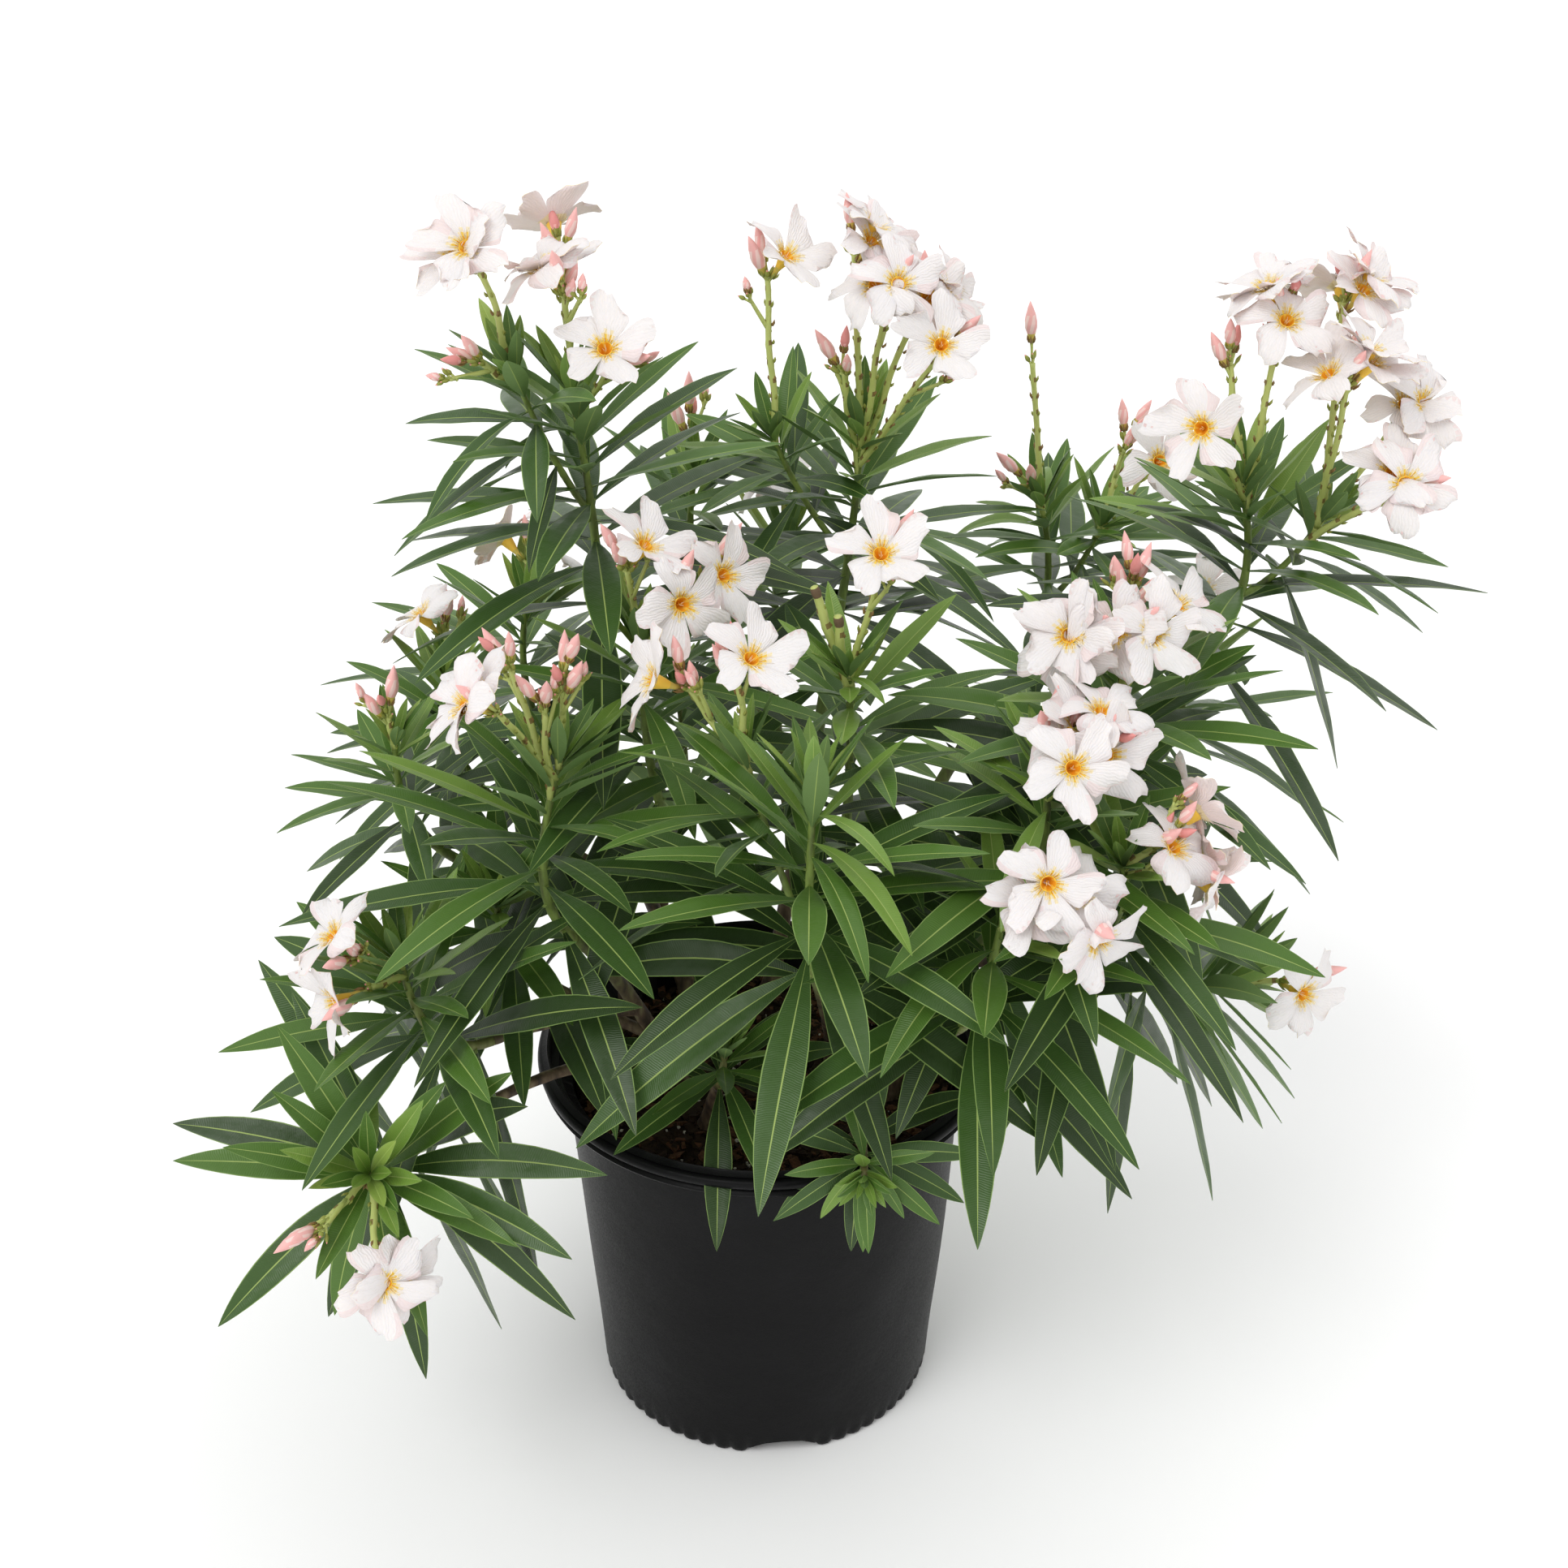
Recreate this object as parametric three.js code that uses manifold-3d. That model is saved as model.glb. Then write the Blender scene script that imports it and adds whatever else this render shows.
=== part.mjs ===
// Potted oleander: a nursery pot filled with bark soil, a clump of stems and boughs,
// and the leafy, flowering shoots that they carry.
// Millimetres, +Z up. The origin is the centre of the pot's flat underside, and -Y is the front.

import * as THREE from 'three';
import { mergeVertices } from 'three/addons/utils/BufferGeometryUtils.js';
import Module from 'manifold-3d';

const wasm = await Module();
wasm.setup();
const { lerp, degToRad } = THREE.MathUtils;

// ---------------------------------------------------------------- driving dimensions

const gap = 0.3; // clear space between neighbouring solids

const pot = {
  height: 245,
  rimRadius: 140,
  shoulderRadius: 123,
  shoulderHeight: 226,
  baseRadius: 106.5,
  wall: 3,
  floor: 4,
  sides: 60,
};
const lip = {
  innerRadius: 133,
  beadRadius: 138,
  beadHeight: 234,
  grooveRadius: 136,
  grooveHeight: 238,
};
const crimp = { height: 5, depth: 2 }; // every other corner of the pot's foot is pinched in
const drain = { count: 3, width: 46, height: 11, inner: 90, depth: 30, bearing: -84 };

const soil = { top: 218, edgeDrop: 5, edgeWidth: 12, sides: 30, footRadius: 87, footRise: 20 };
const buried = 6; // how far below the soil's surface a stem's sweep begins, before it is cut off flat

const stemSize = { sides: 5, steps: 4, foot: 5.2, tip: 3.6, flare: 0.55, flareHeight: 9 };
const boughSize = { sides: 5, steps: 3, foot: 3.6, tip: 3 };
const shootSize = { sides: 3, steps: 3, foot: 3.4, tip: 2 };
const twigSize = { sides: 3, steps: 2, foot: 2.4, tip: 1.6, lift: -8 };
const stalkSize = { sides: 3, steps: 1, foot: 1.9, tip: 1.5, spacing: 6, topmost: 0.4 };

const bareShare = { shoot: 0.15, twig: 0.45 }; // of its length, below the lowest whorl

const leaf = {
  width: 0.165, // of its length
  thickness: 0.014, // of its length
  widest: 0.44, // of its length, from the root
  thickest: 0.2, // of its length, from the root, where the midrib stands out below
  sunk: 0.8, // its root lies this far behind the twig's axis
  stalk: 10, // beyond this it keeps clear of its own shoot's leaves too
  perWhorl: 3,
  onTwig: 0.8, // length of a side twig's leaves against its shoot's
  topmost: 0.98, // of the way up its twig
  crowding: 0.8, // below 1, the whorls stand closer together towards the apex
  openLow: 90, // degrees between the lowest leaves and their twig
  openTop: 26,
  droopLow: 0.35,
  droopTop: 0.05,
  youngest: 0.5, // length of the topmost leaves against the longest
  clearance: 0.8,
  whorlTurn: 60, // degrees from each whorl to the next
};
const wander = { turn: 24, open: 16, droop: 0.2, length: 0.15, shortest: 0.9 }; // from leaf to leaf
const lastResorts = { shares: [1, 0.8, 0.6], turns: [0, 14, -14, 26, -26] }; // for a leaf that would touch
const bloom = {
  petals: 5,
  radius: 26,
  dish: 6,
  tube: 28,
  tilt: 42, // degrees between a flower and the stalk that carries it
  spacing: 6, // between the flowers along their stalk
  spiral: 137.5, // degrees round the stalk from one flower to the next
  towardsLight: 0.25,
};
const bud = { length: 28, radius: 4.5, widest: 0.6 };
const spindle = { sides: 3 }; // a leaf or bud is a slim three-sided spindle: a cone whose base is drawn out
const light = new THREE.Vector3(0, -0.7, 0.75).normalize(); // where the flowers turn to
const firstSeed = 101;
const turnsAside = [0, 30, -30, 60, -60, 90, -90, 120, -120, 180]; // degrees that a flower may turn aside

// Each stem stands on the soil at its foot and rises to the shoot that it carries.
// The middle of its sweep is raised by lift above the straight line.
const stems = [
  { name: 'stem_front', foot: [45, 18], tip: [28, -126, 374], lift: 10 },
  { name: 'stem_left', foot: [-88, 52], tip: [-93, 44, 500], lift: 0 },
  { name: 'stem_back', foot: [2, 90], tip: [44, 130, 456], lift: 0 },
  { name: 'stem_right', foot: [78, 54], tip: [250, 44, 474], lift: 20 },
  { name: 'stem_right_front', foot: [74, -22], tip: [134, -98, 390], lift: 15 },
  { name: 'stem_left_front', foot: [-50, -14], tip: [-106, -78, 366], lift: 15 },
  { name: 'stem_centre', foot: [-18, 36], tip: [-58, -6, 404], lift: 0 },
  { name: 'stem_back_left', foot: [-48, 88], tip: [-136, 172, 350], lift: 20 },
  { name: 'stem_back_right', foot: [44, 84], tip: [160, 188, 396], lift: 20 },
  { name: 'stem_rim', foot: [52, -72], tip: [56, -116, 252], lift: 6 },
  { name: 'stem_low', foot: [-34, -52], tip: [-26, -84, 268], lift: 4 },
];

// Each bough leaves its stem part of the way up and runs out to the shoot that it carries.
const boughs = [
  { name: 'bough_left_outer', stem: 'stem_left', at: 0.3, tip: [-184, 2, 372], lift: -6 },
  { name: 'bough_left_low', stem: 'stem_left_front', at: 0.5, tip: [-154, -92, 306], lift: 4 },
  { name: 'bough_left_lowest', stem: 'stem_left_front', at: 0.22, tip: [-193, -126, 258], lift: 16 },
  { name: 'bough_left_inner', stem: 'stem_left_front', at: 0.34, tip: [-126, -34, 306], lift: -2 },
  { name: 'bough_centre_right', stem: 'stem_front', at: 0.45, tip: [47, -44, 416], lift: -6 },
  { name: 'bough_right_upper', stem: 'stem_right', at: 0.5, tip: [184, -36, 430], lift: -6 },
  { name: 'bough_right_lower', stem: 'stem_right_front', at: 0.35, tip: [110, -120, 334], lift: -4 },
  { name: 'bough_right_outer', stem: 'stem_right_front', at: 0.62, tip: [172, -110, 378], lift: -4 },
  { name: 'bough_right_low', stem: 'stem_right', at: 0.16, tip: [192, -52, 322], lift: 10 },
  { name: 'bough_back', stem: 'stem_back', at: 0.4, tip: [6, 212, 366], lift: -8 },
  { name: 'bough_back_top', stem: 'stem_back', at: 0.62, tip: [-30, 168, 440], lift: -4 },
  { name: 'bough_left_back', stem: 'stem_back_left', at: 0.45, tip: [-172, 116, 346], lift: -6 },
  { name: 'bough_back_low', stem: 'stem_back_left', at: 0.3, tip: [-58, 206, 292], lift: 4 },
  { name: 'bough_right_back', stem: 'stem_back_right', at: 0.42, tip: [232, 132, 352], lift: 0 },
];

// Each shoot is one mass of foliage. It grows on from its limb's tip to its apex, in whorls of leaves.
// Spin turns its lowest whorl, in degrees, and leaf is the length of its longest leaves.
// A side twig leaves it part of the way up. A truss of blossom stands on an apex:
// [bearing, lean, length, blooms, buds], in degrees, degrees from upright, and millimetres.
const shoots = [
  {
    name: 'foliage_front',
    limb: 'stem_front',
    apex: [27, -150, 496],
    whorls: 7,
    spin: 60,
    leaf: 160,
    twigs: [{
      at: 0.35,
      apex: [-8, -112, 500],
      whorls: 2,
      trusses: [[180, 5, 75, 1, 0], [185, 35, 78, 1, 1]],
    }],
    trusses: [],
  },
  {
    name: 'foliage_left_top',
    limb: 'stem_left',
    apex: [-105, 40, 646],
    whorls: 8,
    spin: 10,
    leaf: 155,
    twigs: [{
      at: 0.5,
      apex: [-134, 28, 660],
      whorls: 2,
      trusses: [[210, 15, 84, 2, 0], [208, 62, 48, 0, 1]],
    }],
    trusses: [[270, 14, 80, 1, 0], [100, 18, 92, 1, 1], [320, 55, 60, 1, 0]],
  },
  {
    name: 'foliage_back_top',
    limb: 'stem_back',
    apex: [58, 130, 588],
    whorls: 7,
    spin: 40,
    leaf: 155,
    twigs: [{
      at: 0.4,
      apex: [6, 112, 592],
      whorls: 2,
      trusses: [[180, 2, 112, 1, 0]],
    }],
    trusses: [[180, 3, 128, 2, 0], [300, 17, 115, 2, 0], [345, 22, 110, 1, 0], [320, 42, 108, 1, 1]],
  },
  {
    name: 'foliage_right_top',
    limb: 'stem_right',
    apex: [269, 40, 592],
    whorls: 7,
    spin: 25,
    leaf: 152,
    twigs: [{
      at: 0.45,
      apex: [318, 40, 574],
      whorls: 2,
      trusses: [[85, 12, 132, 2, 1], [265, 16, 108, 2, 0], [10, 34, 95, 2, 0], [312, 55, 82, 2, 1]],
    }],
    trusses: [[140, 12, 80, 0, 1], [225, 40, 85, 1, 0], [40, 8, 108, 2, 0]],
  },
  {
    name: 'foliage_right_upper',
    limb: 'bough_right_upper',
    apex: [194, -60, 530],
    whorls: 6,
    spin: 70,
    leaf: 150,
    twigs: [],
    trusses: [
      [210, 58, 72, 1, 0],
      [236, 46, 66, 1, 0],
      [275, 32, 56, 1, 0],
      [0, 40, 52, 1, 0],
      [75, 18, 68, 0, 2],
    ],
  },
  {
    name: 'foliage_right_front',
    limb: 'stem_right_front',
    apex: [149, -120, 494],
    whorls: 6,
    spin: 15,
    leaf: 150,
    twigs: [],
    trusses: [[275, 12, 50, 1, 0], [280, 60, 62, 1, 0], [335, 48, 62, 1, 1]],
  },
  {
    name: 'foliage_right_lower',
    limb: 'bough_right_lower',
    apex: [128, -150, 433],
    whorls: 6,
    spin: 55,
    leaf: 155,
    twigs: [],
    trusses: [[295, 43, 80, 1, 0], [282, 60, 65, 1, 0], [308, 70, 82, 1, 0]],
  },
  {
    name: 'foliage_right_outer',
    limb: 'bough_right_outer',
    apex: [188, -150, 456],
    whorls: 4,
    spin: 95,
    leaf: 140,
    twigs: [],
    trusses: [[0, 50, 55, 1, 2], [350, 84, 54, 2, 0]],
  },
  {
    name: 'foliage_right_low',
    limb: 'bough_right_low',
    apex: [266, -78, 336],
    whorls: 6,
    spin: 45,
    leaf: 145,
    twigs: [],
    trusses: [[350, 80, 55, 1, 0]],
  },
  {
    name: 'foliage_left_front',
    limb: 'stem_left_front',
    apex: [-108, -90, 484],
    whorls: 7,
    spin: 30,
    leaf: 150,
    twigs: [],
    trusses: [[0, 5, 78, 0, 2], [220, 41, 92, 2, 0], [165, 25, 86, 0, 1]],
  },
  {
    name: 'foliage_left_outer',
    limb: 'bough_left_outer',
    apex: [-209, -18, 458],
    whorls: 5,
    spin: 80,
    leaf: 105,
    twigs: [],
    trusses: [[250, 13, 48, 0, 2]],
  },
  {
    name: 'foliage_left_low',
    limb: 'bough_left_low',
    apex: [-197, -120, 376],
    whorls: 6,
    spin: 35,
    leaf: 145,
    twigs: [],
    trusses: [[230, 57, 60, 1, 0], [242, 88, 56, 1, 0]],
  },
  {
    name: 'foliage_left_inner',
    limb: 'bough_left_inner',
    apex: [-152, -54, 372],
    whorls: 5,
    spin: 20,
    leaf: 140,
    twigs: [],
    trusses: [],
  },
  {
    name: 'foliage_left_lowest',
    limb: 'bough_left_lowest',
    apex: [-212, -186, 284],
    whorls: 6,
    spin: 20,
    leaf: 138,
    twigs: [],
    trusses: [[282, 120, 84, 2, 0], [228, 112, 58, 0, 1]],
  },
  {
    name: 'foliage_centre_left',
    limb: 'stem_centre',
    apex: [-67, -20, 518],
    whorls: 5,
    spin: 85,
    leaf: 145,
    twigs: [],
    trusses: [[248, 15, 84, 1, 0], [304, 37, 80, 1, 0], [0, 39, 82, 1, 1]],
  },
  {
    name: 'foliage_centre_right',
    limb: 'bough_centre_right',
    apex: [47, -60, 522],
    whorls: 5,
    spin: 5,
    leaf: 145,
    twigs: [],
    trusses: [[0, 14, 92, 1, 1]],
  },
  {
    name: 'foliage_rim',
    limb: 'stem_rim',
    apex: [57, -152, 256],
    whorls: 3,
    spin: 0,
    leaf: 78,
    twigs: [],
    trusses: [],
  },
  {
    name: 'foliage_low',
    limb: 'stem_low',
    apex: [-22, -92, 296],
    whorls: 3,
    spin: 10,
    leaf: 95,
    twigs: [],
    trusses: [],
  },
  {
    name: 'foliage_back_right',
    limb: 'stem_back_right',
    apex: [176, 198, 516],
    whorls: 5,
    spin: 50,
    leaf: 150,
    twigs: [{
      at: 0.45,
      apex: [212, 178, 510],
      whorls: 2,
      trusses: [[16, 13, 84, 0, 2], [332, 32, 80, 1, 0]],
    }],
    trusses: [[140, 8, 120, 0, 1]],
  },
  {
    name: 'foliage_back',
    limb: 'bough_back',
    apex: [12, 252, 466],
    whorls: 6,
    spin: 65,
    leaf: 150,
    twigs: [],
    trusses: [[90, 20, 62, 2, 0]],
  },
  {
    name: 'foliage_back_middle',
    limb: 'bough_back_top',
    apex: [-44, 176, 542],
    whorls: 5,
    spin: 20,
    leaf: 145,
    twigs: [],
    trusses: [[100, 30, 58, 0, 1]],
  },
  {
    name: 'foliage_back_left',
    limb: 'stem_back_left',
    apex: [-156, 200, 446],
    whorls: 6,
    spin: 100,
    leaf: 150,
    twigs: [],
    trusses: [[90, 50, 58, 2, 0]],
  },
  {
    name: 'foliage_left_back',
    limb: 'bough_left_back',
    apex: [-196, 108, 436],
    whorls: 5,
    spin: 75,
    leaf: 120,
    twigs: [],
    trusses: [[100, 30, 55, 1, 0]],
  },
  {
    name: 'foliage_back_low',
    limb: 'bough_back_low',
    apex: [-62, 262, 348],
    whorls: 5,
    spin: 30,
    leaf: 145,
    twigs: [],
    trusses: [[90, 60, 50, 1, 0]],
  },
  {
    name: 'foliage_right_back',
    limb: 'bough_right_back',
    apex: [266, 146, 430],
    whorls: 6,
    spin: 90,
    leaf: 145,
    twigs: [],
    trusses: [[40, 30, 60, 1, 0]],
  },
];

// ---------------------------------------------------------------- finishes

const finishes = {
  pot: { color: 0x1b1c1f, roughness: 0.45, metalness: 0 },
  soil: { color: 0x3a2a20, roughness: 0.95, metalness: 0 },
  stem: { color: 0x6b5a3e, roughness: 0.8, metalness: 0 },
  bough: { color: 0x66703a, roughness: 0.7, metalness: 0 },
  foliage: { color: 0x3f6b34, roughness: 0.5, metalness: 0 },
};

// ---------------------------------------------------------------- solids from geometries

/** A repeatable stream of numbers from 0 to 1. */
function seeded(seed) {
  let state = seed >>> 0;
  return () => {
    state = (state + 0x6d2b79f5) >>> 0;
    let mixed = Math.imul(state ^ (state >>> 15), 1 | state);
    mixed = (mixed + Math.imul(mixed ^ (mixed >>> 7), 61 | mixed)) ^ mixed;
    return ((mixed ^ (mixed >>> 14)) >>> 0) / 2 ** 32;
  };
}

/** The solid inside a closed geometry, once its vertices have moved as place says. */
function solidOf(geometry, place = (point) => point) {
  geometry.deleteAttribute('normal');
  geometry.deleteAttribute('uv');
  const merged = mergeVertices(geometry);
  const position = merged.attributes.position;
  for (let i = 0; i < position.count; i += 1) {
    const moved = place(new THREE.Vector3().fromBufferAttribute(position, i), i);
    position.setXYZ(i, moved.x, moved.y, moved.z);
  }
  const vertProperties = Float32Array.from(position.array);
  const triVerts = Uint32Array.from(merged.index.array);
  return new wasm.Manifold(new wasm.Mesh({ numProp: 3, vertProperties, triVerts }));
}

/** The largest connected body of a solid, without loose scraps or sealed hollows. */
function mainBody(solid) {
  return solid.decompose().reduce((best, part) => (part.volume() > best.volume() ? part : best));
}

/** A named mesh of a solid, in one of the finishes. */
function meshOf(name, solid, finish) {
  const { numProp, vertProperties, triVerts } = solid.getMesh();
  const geometry = new THREE.BufferGeometry();
  geometry.setAttribute('position', new THREE.BufferAttribute(Float32Array.from(vertProperties), numProp));
  geometry.setIndex(new THREE.BufferAttribute(Uint32Array.from(triVerts), 1));
  geometry.computeVertexNormals();
  const mesh = new THREE.Mesh(geometry, new THREE.MeshStandardMaterial(finish));
  mesh.name = name;
  return mesh;
}

/** A round limb along a curve: its radius at each share of its length is given by radiusAt. */
function limbSolid(curve, { sides, steps }, radiusAt) {
  const frames = curve.computeFrenetFrames(steps, false);
  return solidOf(new THREE.CylinderGeometry(1, 1, 1, sides, steps), ({ x, y, z }) => {
    const share = y + 0.5;
    const step = Math.round(share * steps);
    const radius = radiusAt(share);
    return curve.getPointAt(share)
      .addScaledVector(frames.normals[step], x * radius)
      .addScaledVector(frames.binormals[step], -z * radius);
  });
}

/** A taper from one radius to another along a limb. */
function taper({ foot, tip }) {
  return (share) => lerp(foot, tip, share);
}

/** A sweep between two points whose middle is raised above the straight line. */
function sweep(start, end, lift) {
  const middle = start.clone().lerp(end, 0.5);
  middle.z += 2 * lift;
  return new THREE.QuadraticBezierCurve3(start, middle, end);
}

/** A unit vector that leans away from upright towards a bearing. */
function wayOf(bearing, lean) {
  const turn = degToRad(bearing);
  const tilt = degToRad(lean);
  const outward = Math.sin(tilt);
  return new THREE.Vector3(outward * Math.cos(turn), outward * Math.sin(turn), Math.cos(tilt));
}

/** A unit vector opened away from an axis by some degrees, turned round it by others. */
function openedFrom(axis, open, turn) {
  const across = new THREE.Vector3(0, -axis.z, axis.y);
  if (across.lengthSq() < 0.01) across.set(-axis.z, 0, axis.x);
  across.normalize().applyAxisAngle(axis, degToRad(turn));
  const angle = degToRad(open);
  return axis.clone().multiplyScalar(Math.cos(angle)).addScaledVector(across, Math.sin(angle));
}

// ---------------------------------------------------------------- pot and soil

/** The pot's wall, floor and rolled lip, with a crimped foot and arched drain notches. */
function potSolid() {
  const { height, rimRadius, shoulderRadius, shoulderHeight, baseRadius, wall, floor } = pot;
  const profile = [
    [0, 0],
    [baseRadius - crimp.depth, 0],
    [baseRadius, crimp.height],
    [shoulderRadius, shoulderHeight],
    [lip.beadRadius - crimp.depth, lip.beadHeight - wall],
    [lip.beadRadius, lip.beadHeight],
    [lip.grooveRadius, lip.grooveHeight],
    [rimRadius, height - wall],
    [rimRadius - wall / 2, height],
    [lip.innerRadius, height],
    [lip.innerRadius - wall / 2, lip.grooveHeight],
    [shoulderRadius - wall, shoulderHeight],
    [baseRadius - wall, floor],
    [0, floor],
  ];
  const points = profile.map(([radius, z]) => new THREE.Vector2(radius, z));
  const lathe = new THREE.LatheGeometry(points, pot.sides);
  const step = (2 * Math.PI) / pot.sides;
  const wallAndFloor = solidOf(lathe, ({ x, y, z }) => {
    const turn = Math.round(Math.atan2(x, z) / step);
    const pinched = Math.abs(y - crimp.height) < 0.01 && turn % 2 !== 0;
    const inward = pinched ? 1 - crimp.depth / baseRadius : 1;
    return new THREE.Vector3(z * inward, x * inward, y);
  });
  return drainArches().reduce((whole, arch) => whole.subtract(arch), wallAndFloor);
}

/** The arched notches, evenly spaced round the foot of the pot. */
function drainArches() {
  const outline = new THREE.Shape();
  outline.moveTo(-drain.width / 2, -1);
  outline.lineTo(drain.width / 2, -1);
  outline.lineTo(drain.width / 2, 0);
  outline.absellipse(0, 0, drain.width / 2, drain.height, 0, Math.PI);
  const { depth } = drain;
  return Array.from({ length: drain.count }, (_, i) => {
    const arch = new THREE.ExtrudeGeometry(outline, { depth, bevelEnabled: false, curveSegments: 8 });
    arch.translate(0, 0, drain.inner);
    arch.rotateY(Math.PI / 2);
    arch.rotateX(Math.PI / 2);
    arch.rotateZ(degToRad(drain.bearing + (360 * i) / drain.count));
    return solidOf(arch);
  });
}

/** The soil that fills the pot, flat on top where the stems stand and dropping a little at the wall. */
function soilSolid() {
  const wallRadius = (z) => {
    const share = z / pot.shoulderHeight;
    return lerp(pot.baseRadius, pot.shoulderRadius, share) - pot.wall - crimp.depth;
  };
  const edge = soil.top - soil.edgeDrop;
  const profile = [
    [0, pot.floor + gap],
    [soil.footRadius, pot.floor + gap],
    [wallRadius(soil.footRise), soil.footRise],
    [wallRadius(edge), edge],
    [wallRadius(edge) - soil.edgeWidth, soil.top],
    [0, soil.top],
  ];
  const points = profile.map(([radius, z]) => new THREE.Vector2(radius, z));
  return solidOf(new THREE.LatheGeometry(points, soil.sides), ({ x, y, z }) => new THREE.Vector3(z, x, y));
}

// ---------------------------------------------------------------- stems and boughs

/** A stem with a flared foot, cut flat where it stands on the soil, grown fatter by extra. */
function stemSolid(curve, extra = 0) {
  const thin = taper(stemSize);
  const length = curve.getLength();
  const solid = limbSolid(curve, stemSize, (share) => {
    const flare = 1 + stemSize.flare * Math.exp((-share * length) / stemSize.flareHeight);
    return thin(share) * flare + extra;
  });
  return solid.intersect(aboveSoil);
}

/** Everything above the level where the stems are cut off. */
const aboveSoil = solidOf(new THREE.BoxGeometry(1000, 1000, 1000), (point) => {
  point.z += 500 + soil.top + gap;
  return point;
});

const limbs = new Map(); // name of each limb, with its curve and solid

for (const { name, foot, tip, lift } of stems) {
  const start = new THREE.Vector3(...foot, soil.top - buried);
  const curve = sweep(start, new THREE.Vector3(...tip), lift);
  limbs.set(name, { curve, solid: stemSolid(curve), fat: stemSolid(curve, gap), finish: finishes.stem });
}

for (const { name, stem, at, tip, lift } of boughs) {
  const carrier = limbs.get(stem);
  const curve = sweep(carrier.curve.getPointAt(at), new THREE.Vector3(...tip), lift);
  const whole = limbSolid(curve, boughSize, taper(boughSize));
  limbs.set(name, { curve, solid: mainBody(whole.subtract(carrier.fat)), finish: finishes.bough });
}

// ---------------------------------------------------------------- foliage

/** A slim pointed blade from a point on its twig, bent down past its widest place. */
function leafSolid({ root, way, twigAxis, length, droop, spare = 0 }) {
  const side = new THREE.Vector3().crossVectors(twigAxis, way).normalize();
  const up = new THREE.Vector3().crossVectors(way, side);
  // Its upper side is towards the sky.
  if (up.z < 0) {
    side.negate();
    up.negate();
  }
  const start = root.clone().addScaledVector(way, -leaf.sunk);
  const middle = start.clone().addScaledVector(way, length * leaf.widest);
  const beyond = way.clone().add(new THREE.Vector3(0, 0, -droop)).normalize();
  const tip = middle.clone().addScaledVector(beyond, length * (1 - leaf.widest) + spare);
  const keel = start.clone().addScaledVector(way, length * leaf.thickest);
  keel.addScaledVector(up, -length * leaf.thickness - 2 * spare);
  const halfWidth = (length * leaf.width) / 2 + spare;
  return solidOf(new THREE.ConeGeometry(1, 1, spindle.sides, 1), ({ x, y, z }) => {
    if (y > 0) return start.clone();
    if (Math.hypot(x, z) < 0.5) return tip.clone();
    if (z > 0.5) return keel.clone();
    return middle.clone().addScaledVector(side, -Math.sign(x) * halfWidth).addScaledVector(up, spare);
  });
}

/** An open flower: a corner for each broad petal round a dish, on a tube that narrows to its foot. */
function bloomSolid(foot, way) {
  const facing = new THREE.Quaternion().setFromUnitVectors(new THREE.Vector3(0, 1, 0), way);
  return solidOf(new THREE.ConeGeometry(1, 1, bloom.petals, 1), ({ x, y, z }) => {
    const throat = Math.hypot(x, z) < 0.5;
    // The cone's point is the tube's foot, so the cone is turned end for end.
    const along = y > 0 ? 0 : bloom.tube - (throat ? bloom.dish : 0);
    const placed = new THREE.Vector3(x * bloom.radius, along, -z * bloom.radius);
    return placed.applyQuaternion(facing).add(foot);
  });
}

/** A closed, spindle-shaped bud. */
function budSolid(foot, way) {
  const facing = new THREE.Quaternion().setFromUnitVectors(new THREE.Vector3(0, 1, 0), way);
  return solidOf(new THREE.ConeGeometry(1, 1, spindle.sides, 1), ({ x, y, z }) => {
    const tip = Math.hypot(x, z) < 0.5;
    const along = y > 0 ? 0 : bud.length * (tip ? 1 : bud.widest);
    const placed = new THREE.Vector3(x * bud.radius, along, -z * bud.radius);
    return placed.applyQuaternion(facing).add(foot);
  });
}

const placed = []; // every solid so far, with the box it fills and the shoot it belongs to

/** Notes a solid as taken space. */
function take(solid, owner) {
  const { min, max } = solid.boundingBox();
  const box = new THREE.Box3(new THREE.Vector3(...min), new THREE.Vector3(...max));
  placed.push({ solid, box, owner });
}

/** Whether a solid keeps clear of everything placed so far, apart from what belongs to its owner. */
function isClear(solid, owner = null) {
  const { min, max } = solid.boundingBox();
  const box = new THREE.Box3(new THREE.Vector3(...min), new THREE.Vector3(...max));
  const near = placed.filter((other) => other.owner !== owner && other.box.intersectsBox(box));
  return near.every((other) => solid.intersect(other.solid).isEmpty());
}

/** Adds a solid to a shoot's parts, and notes its space as taken. */
function fuse(parts, owner, solid) {
  parts.push(solid);
  take(solid, owner);
}

/** The woody frame of one shoot: its axis, side twigs and truss stalks, with blossom and buds. */
function growFrame(shoot, seed) {
  const random = seeded(seed);
  const limb = limbs.get(shoot.limb).curve;
  const way = limb.getTangentAt(1);
  const start = limb.getPointAt(1).addScaledVector(way, gap);
  const apex = new THREE.Vector3(...shoot.apex);
  const bend = start.clone().addScaledVector(way, start.distanceTo(apex) / 2);
  const axis = new THREE.QuadraticBezierCurve3(start, bend, apex);
  const parts = [];
  fuse(parts, shoot.name, limbSolid(axis, shootSize, taper(shootSize)));
  const leafy = [{ axis, from: bareShare.shoot, whorls: shoot.whorls, longest: shoot.leaf }];
  growTrusses(parts, random, shoot.name, axis, shoot.trusses);
  for (const twig of shoot.twigs) {
    const side = sweep(axis.getPointAt(twig.at), new THREE.Vector3(...twig.apex), twigSize.lift);
    fuse(parts, shoot.name, limbSolid(side, twigSize, taper(twigSize)));
    const longest = shoot.leaf * leaf.onTwig;
    leafy.push({ axis: side, from: bareShare.twig, whorls: twig.whorls, longest });
    growTrusses(parts, random, shoot.name, side, twig.trusses);
  }
  return { shoot, parts, leafy, random };
}

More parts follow.
